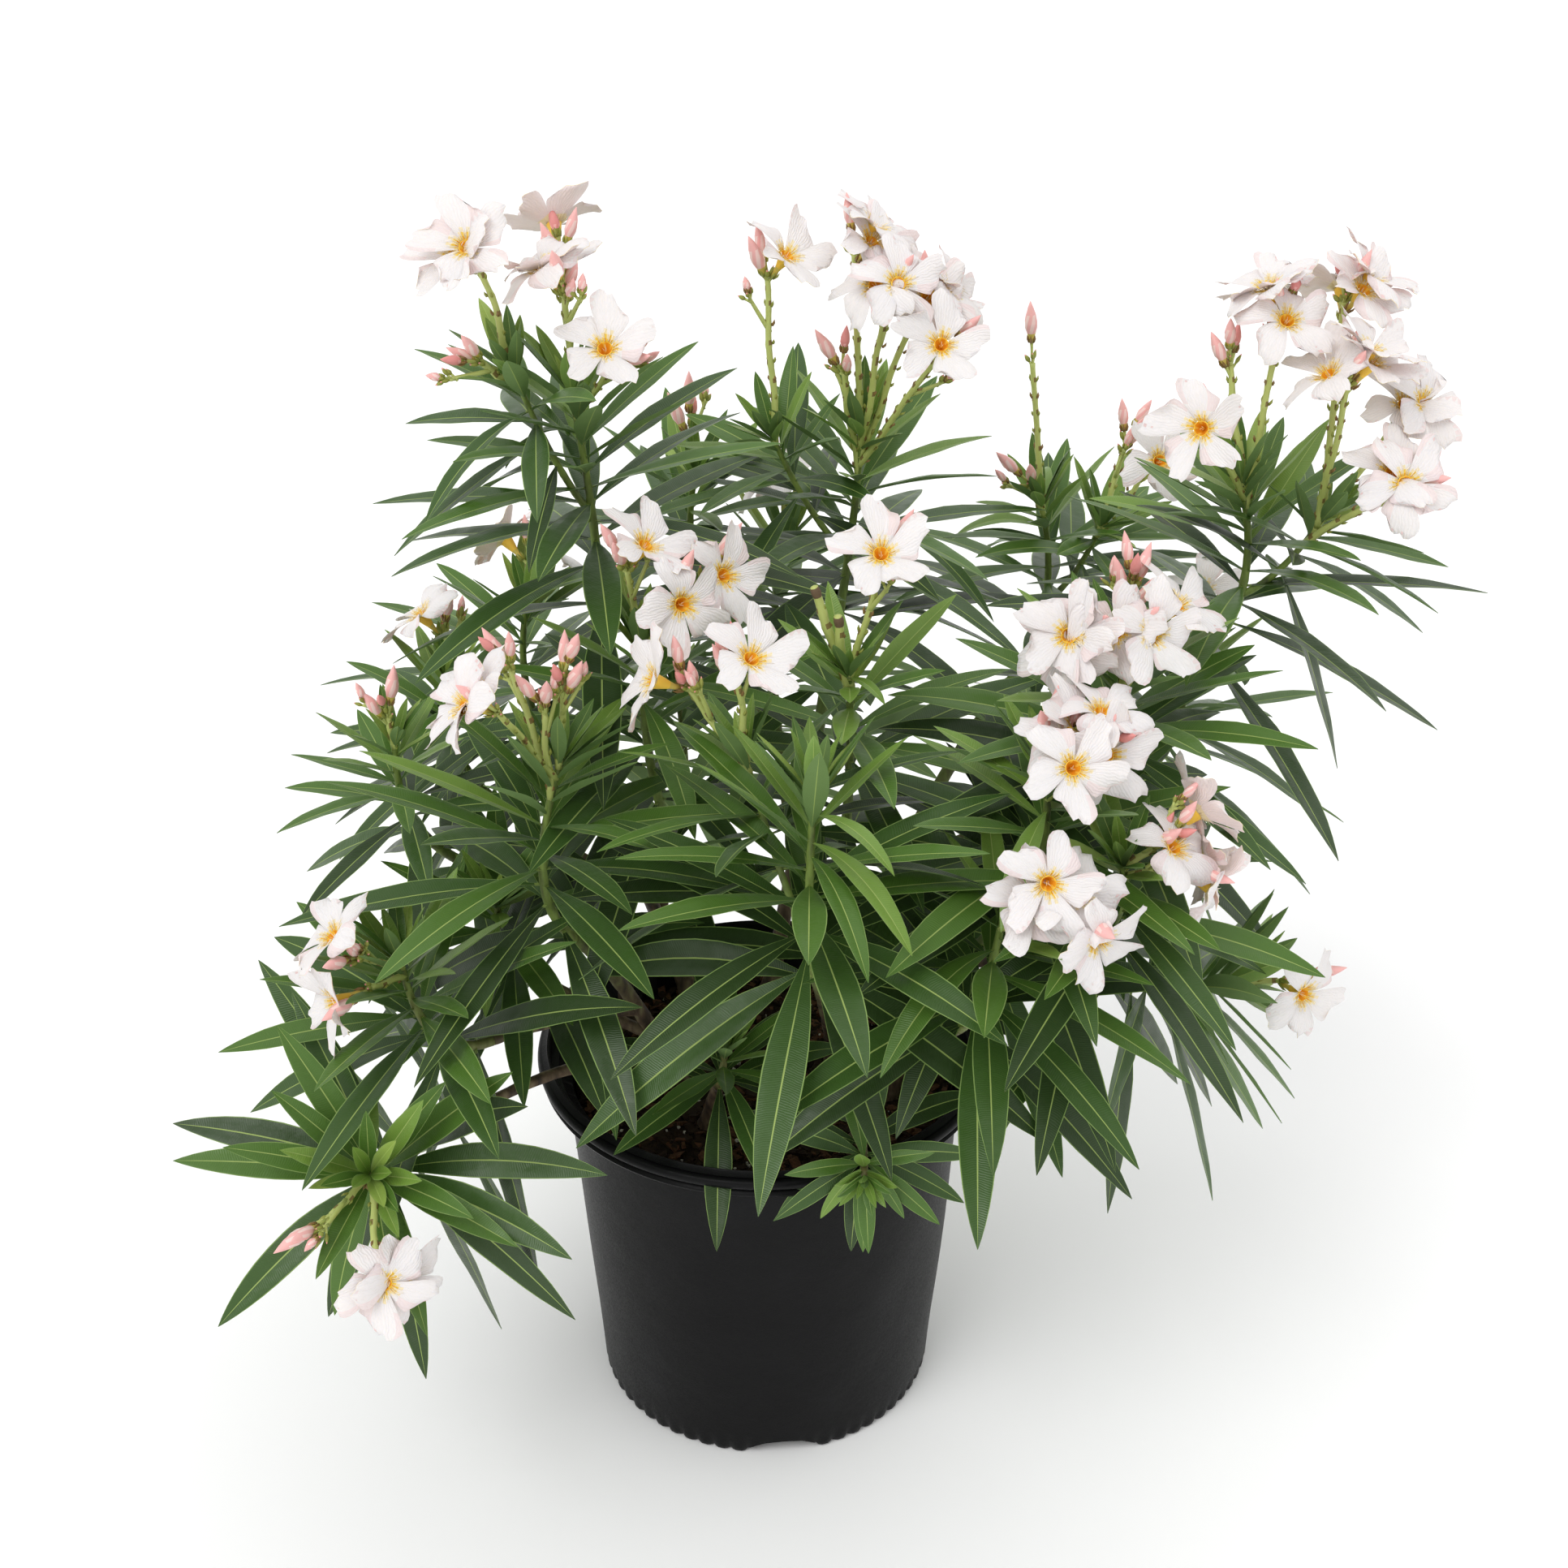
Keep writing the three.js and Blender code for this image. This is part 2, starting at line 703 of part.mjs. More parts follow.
/** Truss stalks that fan out from a twig's apex, each with its blossom and buds at the end. */
function growTrusses(parts, random, owner, axis, trusses) {
  const apex = axis.getPointAt(1);
  trusses.forEach(([bearing, lean, length, blooms, buds], place) => {
    const way = wayOf(bearing, lean);
    const below = (stalkSize.topmost + place) * stalkSize.spacing;
    const start = axis.getPointAt(1 - below / axis.getLength());
    const end = apex.clone().addScaledVector(way, length - bloom.tube);
    fuse(parts, owner, limbSolid(new THREE.LineCurve3(start, end), stalkSize, taper(stalkSize)));
    const turn = 360 * random();
    for (let i = 0; i < blooms + buds; i += 1) {
      const flowerSolid = i < blooms ? bloomSolid : budSolid;
      const open = blooms + buds > 1 ? bloom.tilt : 0;
      const foot = end.clone().addScaledVector(way, -stalkSize.tip - i * bloom.spacing);
      growFlower(parts, owner, flowerSolid, { foot, way, open, turn: turn + bloom.spiral * i });
    }
  });
}

/** Adds a bloom or bud to a truss, turned aside as far as it needs to keep clear of the others. */
function growFlower(parts, owner, flowerSolid, { foot, way, open, turn }) {
  for (const aside of turnsAside) {
    const facing = openedFrom(way, open, turn + aside).lerp(light, bloom.towardsLight).normalize();
    const beyondStalk = foot.clone().addScaledVector(facing, bloom.spacing);
    if (isClear(flowerSolid(beyondStalk, facing))) {
      fuse(parts, owner, flowerSolid(foot, facing));
      return;
    }
  }
}

/** Whorls of leaves along a twig: long, open and drooping below, short and upright at its apex. */
function growLeaves(parts, random, { name, spin }, { axis, from, whorls, longest }) {
  for (let k = 0; k < whorls; k += 1) {
    const rise = whorls > 1 ? k / (whorls - 1) : 1;
    const at = from + (leaf.topmost - from) * rise ** leaf.crowding;
    const root = axis.getPointAt(at);
    const twigAxis = axis.getTangentAt(at);
    for (let i = 0; i < leaf.perWhorl; i += 1) {
      const around = spin + (360 * i) / leaf.perWhorl + leaf.whorlTurn * k;
      const turn = around + wander.turn * (random() - 0.5);
      const open = lerp(leaf.openLow, leaf.openTop, rise) + wander.open * (random() - 0.5);
      const droop = lerp(leaf.droopLow, leaf.droopTop, rise) + wander.droop * (random() - 0.5);
      const share = lerp(1, leaf.youngest, rise ** 3);
      const length = longest * share * (wander.shortest + wander.length * random());
      const grown = clearLeaf({ root, twigAxis, turn, open, droop, length }, name);
      if (grown) fuse(parts, name, grown);
    }
  }
}

/** The leaf as wished, or turned aside, or shorter, whichever first keeps clear; nothing if none does. */
function clearLeaf({ root, twigAxis, turn, open, droop, length }, owner) {
  for (const share of lastResorts.shares) {
    for (const aside of lastResorts.turns) {
      const way = openedFrom(twigAxis, open + Math.abs(aside) / 3, turn + aside);
      const wish = { root, way, twigAxis, length: length * share, droop };
      const whole = leafSolid({ ...wish, spare: leaf.clearance });
      const bladeRoot = root.clone().addScaledVector(way, leaf.stalk);
      const blade = leafSolid({ ...wish, root: bladeRoot, length: wish.length - leaf.stalk });
      if (isClear(whole, owner) && isClear(blade)) return leafSolid(wish);
    }
  }
  return null;
}

// ---------------------------------------------------------------- the whole plant

const plant = new THREE.Group();
const potBody = potSolid();
const soilBody = soilSolid();
plant.add(meshOf('pot', potBody, finishes.pot));
plant.add(meshOf('soil', soilBody, finishes.soil));
take(potBody, 'pot');
take(soilBody, 'soil');

for (const [name, limb] of limbs) {
  plant.add(meshOf(name, limb.solid, limb.finish));
  take(limb.solid, name);
}

const frames = shoots.map((shoot, i) => growFrame(shoot, firstSeed + i));
for (const { shoot, parts, leafy, random } of frames) {
  leafy.forEach((twig) => growLeaves(parts, random, shoot, twig));
}
for (const { shoot, parts } of frames) {
  const fused = parts.reduce((whole, part) => whole.add(part));
  plant.add(meshOf(shoot.name, mainBody(fused), finishes.foliage));
}

export default plant;
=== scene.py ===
"""The looks of a potted oleander in bloom.

The frame holds its solids, in metres, +Z up, with the origin at the centre of the pot's flat
underside and -Y to the front. Stems and boughs rise from the soil, and each carries a shoot that
grows by a seeded rule: whorls of leaves, side twigs, and trusses of blossom on its apex.
"""
from __future__ import annotations

import logging
import math
from dataclasses import dataclass, field, replace
from enum import Enum
from itertools import chain
from typing import Callable, Iterator, Sequence

import bpy
import numpy as np
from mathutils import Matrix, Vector
from mathutils.bvhtree import BVHTree


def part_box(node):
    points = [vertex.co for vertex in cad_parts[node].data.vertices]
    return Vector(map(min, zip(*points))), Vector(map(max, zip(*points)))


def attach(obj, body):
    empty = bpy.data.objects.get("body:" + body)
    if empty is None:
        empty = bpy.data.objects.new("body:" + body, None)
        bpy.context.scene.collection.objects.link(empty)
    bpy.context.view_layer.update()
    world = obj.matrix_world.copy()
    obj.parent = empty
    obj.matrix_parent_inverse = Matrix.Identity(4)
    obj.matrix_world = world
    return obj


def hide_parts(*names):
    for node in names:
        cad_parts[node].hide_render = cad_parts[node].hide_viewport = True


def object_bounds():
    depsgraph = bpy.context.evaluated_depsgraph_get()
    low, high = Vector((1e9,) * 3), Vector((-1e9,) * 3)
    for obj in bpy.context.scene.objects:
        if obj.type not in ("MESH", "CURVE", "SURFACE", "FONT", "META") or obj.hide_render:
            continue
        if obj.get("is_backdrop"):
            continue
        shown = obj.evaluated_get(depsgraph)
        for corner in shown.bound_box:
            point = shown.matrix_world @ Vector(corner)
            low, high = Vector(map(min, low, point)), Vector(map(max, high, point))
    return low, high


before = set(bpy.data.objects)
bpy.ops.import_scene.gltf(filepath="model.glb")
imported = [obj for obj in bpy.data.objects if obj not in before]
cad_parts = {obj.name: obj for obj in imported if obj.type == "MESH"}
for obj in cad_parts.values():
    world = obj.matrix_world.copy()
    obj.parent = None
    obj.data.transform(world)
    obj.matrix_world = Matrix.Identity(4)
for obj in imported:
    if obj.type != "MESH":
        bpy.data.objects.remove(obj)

CAD_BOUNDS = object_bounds()
BODY = "root"
MM = 0.001
UP = np.array((0.0, 0.0, 1.0))
LIGHT = np.array((0.0, -0.7, 0.75)) / math.hypot(0.7, 0.75)
Array = np.ndarray
Pair = tuple[float, float]
Triple = tuple[float, float, float]
log = logging.getLogger("oleander")


# ---- the plant's plan
# Places and lengths here are in millimetres, and angles in degrees. The tables give each plan's
# fields in the order in which its class names them.


@dataclass(frozen=True)
class StemPlan:
    """A stem from its foot on the soil to its tip, the middle of its sweep raised by lift."""

    name: str
    foot: Pair
    tip: Triple
    lift: float


@dataclass(frozen=True)
class BoughPlan:
    """A bough that leaves its stem at a share of the stem's length and runs out to its tip."""

    name: str
    stem: str
    at: float
    tip: Triple
    lift: float


@dataclass(frozen=True)
class Truss:
    """A stalk of blossom: where it leans, how far from upright, how long, and what it carries."""

    bearing: float
    lean: float
    length: float
    blooms: int
    buds: int


@dataclass(frozen=True)
class TwigPlan:
    """A side twig that leaves its shoot at a share of the shoot's length."""

    at: float
    apex: Triple
    whorls: int
    trusses: tuple[Truss, ...] = ()


@dataclass(frozen=True)
class ShootPlan:
    """A shoot that grows on from its limb's tip to its apex: how many whorls of leaves it has,
    where the lowest one stands, and how long its longest leaf is."""

    name: str
    limb: str
    apex: Triple
    whorls: int
    spin: float
    leaf: float
    trusses: tuple[Truss, ...] = ()
    twigs: tuple[TwigPlan, ...] = ()


STEMS: tuple[StemPlan, ...] = (
    StemPlan("stem_front", (45, 18), (28, -126, 374), 10),
    StemPlan("stem_left", (-88, 52), (-93, 44, 500), 0),
    StemPlan("stem_back", (2, 90), (44, 130, 456), 0),
    StemPlan("stem_right", (78, 54), (250, 44, 474), 20),
    StemPlan("stem_right_front", (74, -22), (134, -98, 390), 15),
    StemPlan("stem_left_front", (-50, -14), (-106, -78, 366), 15),
    StemPlan("stem_centre", (-18, 36), (-58, -6, 404), 0),
    StemPlan("stem_back_left", (-48, 88), (-136, 172, 350), 20),
    StemPlan("stem_back_right", (44, 84), (160, 188, 396), 20),
    StemPlan("stem_rim", (52, -72), (56, -116, 252), 6),
    StemPlan("stem_low", (-34, -52), (-26, -84, 268), 4),
)

BOUGHS: tuple[BoughPlan, ...] = (
    BoughPlan("bough_left_outer", "stem_left", 0.3, (-184, 2, 372), -6),
    BoughPlan("bough_left_low", "stem_left_front", 0.5, (-154, -92, 306), 4),
    BoughPlan("bough_left_lowest", "stem_left_front", 0.22, (-193, -126, 258), 16),
    BoughPlan("bough_left_inner", "stem_left_front", 0.34, (-126, -34, 306), -2),
    BoughPlan("bough_centre_right", "stem_front", 0.45, (47, -44, 416), -6),
    BoughPlan("bough_right_upper", "stem_right", 0.5, (184, -36, 430), -6),
    BoughPlan("bough_right_lower", "stem_right_front", 0.35, (110, -120, 334), -4),
    BoughPlan("bough_right_outer", "stem_right_front", 0.62, (172, -110, 378), -4),
    BoughPlan("bough_right_low", "stem_right", 0.16, (192, -52, 322), 10),
    BoughPlan("bough_back", "stem_back", 0.4, (6, 212, 366), -8),
    BoughPlan("bough_back_top", "stem_back", 0.62, (-30, 168, 440), -4),
    BoughPlan("bough_left_back", "stem_back_left", 0.45, (-172, 116, 346), -6),
    BoughPlan("bough_back_low", "stem_back_left", 0.3, (-58, 206, 292), 4),
    BoughPlan("bough_right_back", "stem_back_right", 0.42, (232, 132, 352), 0),
)

SHOOTS: tuple[ShootPlan, ...] = (
    ShootPlan("foliage_front", "stem_front", (27, -150, 496), 7, 60, 160, (), (
        TwigPlan(0.35, (-8, -112, 500), 2, (Truss(180, 5, 75, 1, 3), Truss(185, 35, 78, 1, 4))),
    )),
    ShootPlan("foliage_left_top", "stem_left", (-105, 40, 646), 8, 10, 155, (
        Truss(270, 14, 88, 2, 3), Truss(100, 18, 101, 1, 3), Truss(320, 55, 66, 1, 2),
    ), (
        TwigPlan(0.5, (-134, 28, 660), 2, (Truss(210, 15, 96, 2, 1), Truss(208, 62, 48, 0, 3))),
    )),
    ShootPlan("foliage_back_top", "stem_back", (58, 130, 588), 7, 40, 155, (
        Truss(180, 3, 138, 2, 1), Truss(300, 17, 126, 2, 2), Truss(345, 22, 119, 3, 1),
        Truss(320, 42, 112, 1, 2), Truss(209, 17, 71, 0, 3),
    ), (
        TwigPlan(0.4, (6, 112, 592), 2, (Truss(180, 2, 124, 1, 2),)),
    )),
    ShootPlan("foliage_right_top", "stem_right", (269, 40, 592), 7, 25, 152, (
        Truss(140, 12, 96, 0, 3), Truss(225, 40, 85, 1, 1), Truss(20, 9, 124, 3, 2),
    ), (
        TwigPlan(0.45, (318, 40, 574), 2, (
            Truss(85, 12, 146, 3, 2), Truss(265, 16, 118, 3, 1), Truss(10, 34, 95, 2, 1),
            Truss(312, 55, 82, 2, 2),
        )),
    )),
    ShootPlan("foliage_right_upper", "bough_right_upper", (194, -60, 530), 6, 70, 150, (
        Truss(210, 58, 72, 2, 1), Truss(236, 46, 66, 1, 1), Truss(275, 32, 56, 2, 1),
        Truss(0, 40, 52, 1, 0), Truss(75, 18, 68, 0, 5),
    )),
    ShootPlan("foliage_right_front", "stem_right_front", (149, -120, 494), 6, 15, 150, (
        Truss(275, 12, 50, 2, 3), Truss(280, 60, 62, 1, 0), Truss(335, 48, 62, 2, 2),
    )),
    ShootPlan("foliage_right_lower", "bough_right_lower", (128, -150, 433), 6, 55, 155, (
        Truss(295, 43, 80, 1, 1), Truss(282, 60, 65, 1, 0), Truss(308, 70, 82, 2, 1),
    )),
    ShootPlan("foliage_right_outer", "bough_right_outer", (188, -150, 456), 4, 95, 140, (
        Truss(0, 50, 55, 1, 4), Truss(350, 84, 54, 3, 1),
    )),
    ShootPlan("foliage_right_low", "bough_right_low", (266, -78, 336), 6, 45, 145, (
        Truss(350, 80, 55, 1, 1),
    )),
    ShootPlan("foliage_left_front", "stem_left_front", (-108, -90, 484), 7, 30, 150, (
        Truss(0, 5, 78, 0, 4), Truss(232, 42, 92, 2, 1), Truss(165, 25, 86, 0, 3),
        Truss(222, 14, 62, 0, 3),
    )),
    ShootPlan("foliage_left_outer", "bough_left_outer", (-209, -18, 458), 5, 80, 105, (
        Truss(250, 13, 48, 0, 3),
    )),
    ShootPlan("foliage_left_low", "bough_left_low", (-197, -120, 376), 6, 35, 145, (
        Truss(230, 57, 60, 1, 2), Truss(242, 88, 56, 1, 1),
    )),
    ShootPlan("foliage_left_inner", "bough_left_inner", (-152, -54, 372), 5, 20, 140),
    ShootPlan("foliage_left_lowest", "bough_left_lowest", (-212, -186, 284), 6, 20, 138, (
        Truss(282, 120, 84, 2, 0), Truss(228, 112, 58, 0, 2),
    )),
    ShootPlan("foliage_centre_left", "stem_centre", (-67, -20, 518), 5, 85, 145, (
        Truss(248, 15, 84, 1, 2), Truss(304, 37, 80, 1, 1), Truss(0, 39, 82, 1, 1),
    )),
    ShootPlan("foliage_centre_right", "bough_centre_right", (47, -60, 522), 5, 5, 145, (
        Truss(0, 14, 92, 1, 3), Truss(184, 20, 84, 0, 0), Truss(215, 12, 66, 0, 0),
    )),
    ShootPlan("foliage_rim", "stem_rim", (57, -152, 256), 3, 0, 78),
    ShootPlan("foliage_low", "stem_low", (-22, -92, 296), 3, 10, 95),
    ShootPlan("foliage_back_right", "stem_back_right", (176, 198, 516), 5, 50, 150, (
        Truss(140, 8, 120, 0, 1), Truss(207, 32, 44, 0, 2),
    ), (
        TwigPlan(0.45, (212, 178, 510), 2, (Truss(16, 13, 84, 0, 3), Truss(332, 32, 80, 1, 2))),
    )),
    ShootPlan("foliage_back", "bough_back", (12, 252, 466), 6, 65, 150, (Truss(90, 20, 62, 2, 2),)),
    ShootPlan("foliage_back_middle", "bough_back_top", (-44, 176, 542), 5, 20, 145, (
        Truss(100, 30, 58, 0, 3),
    )),
    ShootPlan("foliage_back_left", "stem_back_left", (-156, 200, 446), 6, 100, 150, (
        Truss(90, 50, 58, 2, 2),
    )),
    ShootPlan("foliage_left_back", "bough_left_back", (-196, 108, 436), 5, 75, 120, (
        Truss(100, 30, 55, 1, 2),
    )),
    ShootPlan("foliage_back_low", "bough_back_low", (-62, 262, 348), 5, 30, 145, (
        Truss(90, 60, 50, 1, 2),
    )),
    ShootPlan("foliage_right_back", "bough_right_back", (266, 146, 430), 6, 90, 145, (
        Truss(40, 30, 60, 1, 2),
    )),
)


# ---- numbers, ways and curves

NEARLY_ALONG = 0.01
MOSTLY_ALONG = 0.8


class Stream:
    """A repeatable stream of numbers from 0 to 1."""

    MASK = 0xFFFFFFFF
    STRIDE = 0x6D2B79F5

    def __init__(self, seed: int) -> None:
        """Starts the stream from the whole number that settles every later draw."""
        self._state = seed & self.MASK

    def draw(self) -> float:
        """Draws the stream's next number.

        Returns:
            The number.
        """
        self._state = (self._state + self.STRIDE) & self.MASK
        state = self._state
        mixed = (state ^ (state >> 15)) * (1 | state) & self.MASK
        mixed ^= (mixed + ((mixed ^ (mixed >> 7)) * (61 | mixed) & self.MASK)) & self.MASK
        return (mixed ^ (mixed >> 14)) / (self.MASK + 1)

    def about(self, middle: float, spread: float) -> float:
        """Returns a number from a range, given by its middle and its width."""
        return middle + spread * (self.draw() - 0.5)


def unit(way: Array) -> Array:
    """Returns a vector, or each row of vectors, at length 1."""
    return way / np.linalg.norm(way, axis=-1, keepdims=True)


def mix(low: float, high: float, share: float) -> float:
    """Returns the number that lies a share of the way from low to high."""
    return low + (high - low) * share


def turned(way: Array, axis: Array, degrees: float) -> Array:
    """Turns a vector round an axis.

    Args:
        way: The vector.
        axis: The axis, of length 1.
        degrees: How far it turns.

    Returns:
        The turned vector.
    """
    angle = math.radians(degrees)
    along = axis * float(np.dot(axis, way)) * (1 - math.cos(angle))
    return way * math.cos(angle) + np.cross(axis, way) * math.sin(angle) + along


def way_of(bearing: float, lean: float) -> Array:
    """Returns the unit vector that leans from upright towards a bearing, both in degrees."""
    turn, tilt = math.radians(bearing), math.radians(lean)
    return np.array((math.sin(tilt) * math.cos(turn), math.sin(tilt) * math.sin(turn), math.cos(tilt)))


def opened_from(axis: Array, opening: float, turn: float) -> Array:
    """Opens a direction away from an axis.

    Args:
        axis: The axis, of length 1.
        opening: Degrees between the axis and the direction.
        turn: Degrees round the axis.

    Returns:
        The direction, of length 1.
    """
    across = np.array((0.0, -axis[2], axis[1]))
    if np.dot(across, across) < NEARLY_ALONG:
        across = np.array((-axis[2], 0.0, axis[0]))
    across = turned(unit(across), axis, turn)
    angle = math.radians(opening)
    return axis * math.cos(angle) + across * math.sin(angle)


def crosswise(axis: Array) -> tuple[Array, Array]:
    """Finds two unit vectors square to an axis and to each other.

    Args:
        axis: The axis.

    Returns:
        The two vectors.
    """
    helper = np.array((1.0, 0.0, 0.0)) if abs(axis[0]) < MOSTLY_ALONG else np.array((0.0, 1.0, 0.0))
    first = unit(np.cross(axis, helper))
    return first, np.cross(axis, first)


class Sweep:
    """A quadratic curve whose places are given as shares of its own length."""

    DIVISIONS = 80

    def __init__(self, start: Array, middle: Array, end: Array) -> None:
        """Measures the curve.

        Args:
            start: Its first point.
            middle: The point that it bends towards.
            end: Its last point.
        """
        self._knots = (start, middle, end)
        self._shares = np.linspace(0.0, 1.0, self.DIVISIONS + 1)
        steps = np.linalg.norm(np.diff(self._raw(self._shares), axis=0), axis=1)
        run = np.concatenate(([0.0], np.cumsum(steps)))
        self.length = float(run[-1])
        self._run = run / self.length

    @classmethod
    def raised(cls, start: Array, end: Array, lift: float) -> Sweep:
        """Returns the curve between two points whose middle is raised by lift."""
        return cls(start, (start + end) / 2 + 2 * lift * UP, end)

    def _raw(self, shares: Array) -> Array:
        """Returns the points at the curve's own parameter."""
        (start, middle, end), t = self._knots, shares[:, None]
        return start * (1 - t) ** 2 + middle * 2 * t * (1 - t) + end * t**2

    def points(self, shares: Array) -> Array:
        """Returns the points at some shares of the curve's length."""
        return self._raw(np.interp(shares, self._run, self._shares))

    def point(self, share: float) -> Array:
        """Returns the point at one share of the curve's length."""
        return self.points(np.array((share,)))[0]

    def tangent(self, share: float) -> Array:
        """Finds the direction of the curve.

        Args:
            share: The place, as a share of its length.

        Returns:
            The direction there, of length 1.
        """
        start, middle, end = self._knots
        t = float(np.interp(share, self._run, self._shares))
        return unit((middle - start) * (1 - t) + (end - middle) * t)


# ---- forms and pieces


def shown(name: str, data: bpy.types.ID) -> bpy.types.Object:
    """Shows a mesh, a light or a camera in the scene.

    Args:
        name: The new object's name.
        data: What it shows.

    Returns:
        The object.
    """
    made = bpy.data.objects.new(name, data)
    bpy.context.scene.collection.objects.link(made)
    return made


Relief = Callable[[Array, Array], Array]


@dataclass
class Form:
    """A small mesh: its points, its faces with a finish number each, and where each point lies
    on the form itself, in metres along and across it."""

    points: Array
    faces: list[tuple[Array, Array]]
    places: Array | None = None

    def steps(self, sides: int) -> Array:
        """Returns the finish numbers between its rings, by step and side, to change in place."""
        return self.faces[0][1].reshape(-1, sides)


def skin(rings: Array, poles: Array, steps: Array) -> Form:
    """Closes a run of rings: faces between them, and a fan to a pole at each end.

    Args:
        rings: The points, by ring and side.
        poles: The two poles.
        steps: The finish number of the first fan, of each step between rings, and of the last fan.

    Returns:
        The closed form.
    """
    count, sides = rings.shape[:2]
    row = np.arange(count - 1)[:, None] * sides
    here = np.arange(sides)
    after = (here + 1) % sides
    quads = np.stack((row + here, row + after, row + sides + after, row + sides + here), axis=-1)
    last, pole = (count - 1) * sides, np.full(sides, count * sides)
    return Form(
        np.concatenate((rings.reshape(-1, 3), poles)),
        [
            (quads.reshape(-1, 4), np.repeat(steps[1:-1], sides)),
            (np.stack((pole, after, here), axis=-1), np.full(sides, steps[0])),
            (np.stack((pole + 1, last + here, last + after), axis=-1), np.full(sides, steps[-1])),
        ],
    )


def tube(
    path: Array, radii: Array, sides: int, finish: int | Array = 0, relief: Relief | None = None
) -> Form:
    """Makes a closed tube along a path.

    Args:
        path: The points of its axis.
        radii: Its radius at each of them.
        sides: How many sides it has.
        finish: Its finish number, or one for each step of the path.
        relief: The share by which its radius changes, from the step and the angle.

    Returns:
        The tube, rounded off by one point at each end.
    """
    count = len(path)
    along = unit(np.gradient(path, axis=0))
    side, _ = crosswise(along[0])
    turns = np.linspace(0.0, 2 * math.pi, sides, endpoint=False)
    rings = np.empty((count, sides, 3))
    for i in range(count):
        side = unit(side - along[i] * np.dot(side, along[i]))
        other = np.cross(along[i], side)
        reach = radii[i] * (1 + relief(np.full(sides, i), turns)) if relief else radii[i]
        rings[i] = path[i] + (np.cos(turns) * reach)[:, None] * side
        rings[i] += (np.sin(turns) * reach)[:, None] * other
    poles = np.array((path[0] - along[0] * radii[0] / 3, path[-1] + along[-1] * radii[-1] / 3))
    steps = np.broadcast_to(np.asarray(finish, dtype=int), (count - 1,))
    return skin(rings, poles, np.concatenate((steps[:1], steps, steps[-1:])))


def lathe(profile: Array, sides: int, finish: int | Array = 0) -> Form:
    """Turns a profile round the Z axis, with its first and last points on the axis.

    Args:
        profile: Its points, as radius and height.
        sides: How many sides it has.
        finish: Its finish number, or one for each step of the profile.

    Returns:
        The closed form.
    """
    inner = profile[1:-1]
    turns = np.linspace(0.0, 2 * math.pi, sides, endpoint=False)
    rings = np.empty((len(inner), sides, 3))
    rings[:, :, 0] = inner[:, :1] * np.cos(turns)
    rings[:, :, 1] = inner[:, :1] * np.sin(turns)
    rings[:, :, 2] = inner[:, 1:]
    poles = np.array(((0, 0, profile[0][1]), (0, 0, profile[-1][1])))
    return skin(rings, poles, np.broadcast_to(np.asarray(finish, dtype=int), (len(profile) - 1,)))


class SheetPair:
    """The faces of a closed thin blade: a grid above, and a grid below that shares its margins."""

    def __init__(self, rows: int, columns: int) -> None:
        """Works out which points each face joins.

        Args:
            rows: Points along the blade.
            columns: Points across it.
        """
        upper = np.arange(rows * columns).reshape(rows, columns)
        lower = upper.copy()
        inner = columns - 2
        lower[:, 1:-1] = rows * columns + np.arange(rows * inner).reshape(rows, inner)
        self.upper = self.grid(upper)
        self.lower = self.grid(lower)[:, ::-1]
        self.ends = [self._end(upper[0], lower[0], False), self._end(upper[-1], lower[-1], True)]

    @staticmethod
    def grid(index: Array) -> Array:
        """Returns the faces of a grid of points."""
        faces = (index[:-1, :-1], index[:-1, 1:], index[1:, 1:], index[1:, :-1])
        return np.stack(faces, axis=-1).reshape(-1, 4)[:, ::-1]

    @staticmethod
    def _end(upper: Array, lower: Array, flip: bool) -> list[Array]:
        """Closes one end of the blade.

        Args:
            upper: The numbers of its upper points.
            lower: The numbers of its lower points.
            flip: Whether its faces turn the other way round.

        Returns:
            The four-cornered faces, and the three-cornered ones beside them.
        """
        quads = np.stack((upper[1:-2], upper[2:-1], lower[2:-1], lower[1:-2]), axis=-1)
        corners = np.array(((upper[0], upper[1], lower[1]), (upper[-2], upper[-1], lower[-2])))
        return [quads[:, ::-1], corners[:, ::-1]] if flip else [quads, corners]

    def form(
        self,
        upper: Array,
        lower: Array,
        finishes: tuple[Array, Array],
        places: Array | None = None,
    ) -> Form:
        """Puts the blade together.

        Args:
            upper: Its upper points, by row and column.
            lower: Its lower points, by row and column, without the margins.
            finishes: The finish number of each upper and of each lower face.
            places: Where each upper point lies along and across the blade.

        Returns:
            The closed blade.
        """
        points = np.concatenate((upper.reshape(-1, 3), lower.reshape(-1, 3)))
        faces = [(self.upper, finishes[0]), (self.lower, finishes[1])]
        for end in self.ends:
            faces += [(part, np.full(len(part), finishes[1][0])) for part in end]
        if places is not None:
            places = np.concatenate((places.reshape(-1, 2), places[:, 1:-1].reshape(-1, 2)))
        return Form(points, faces, places)


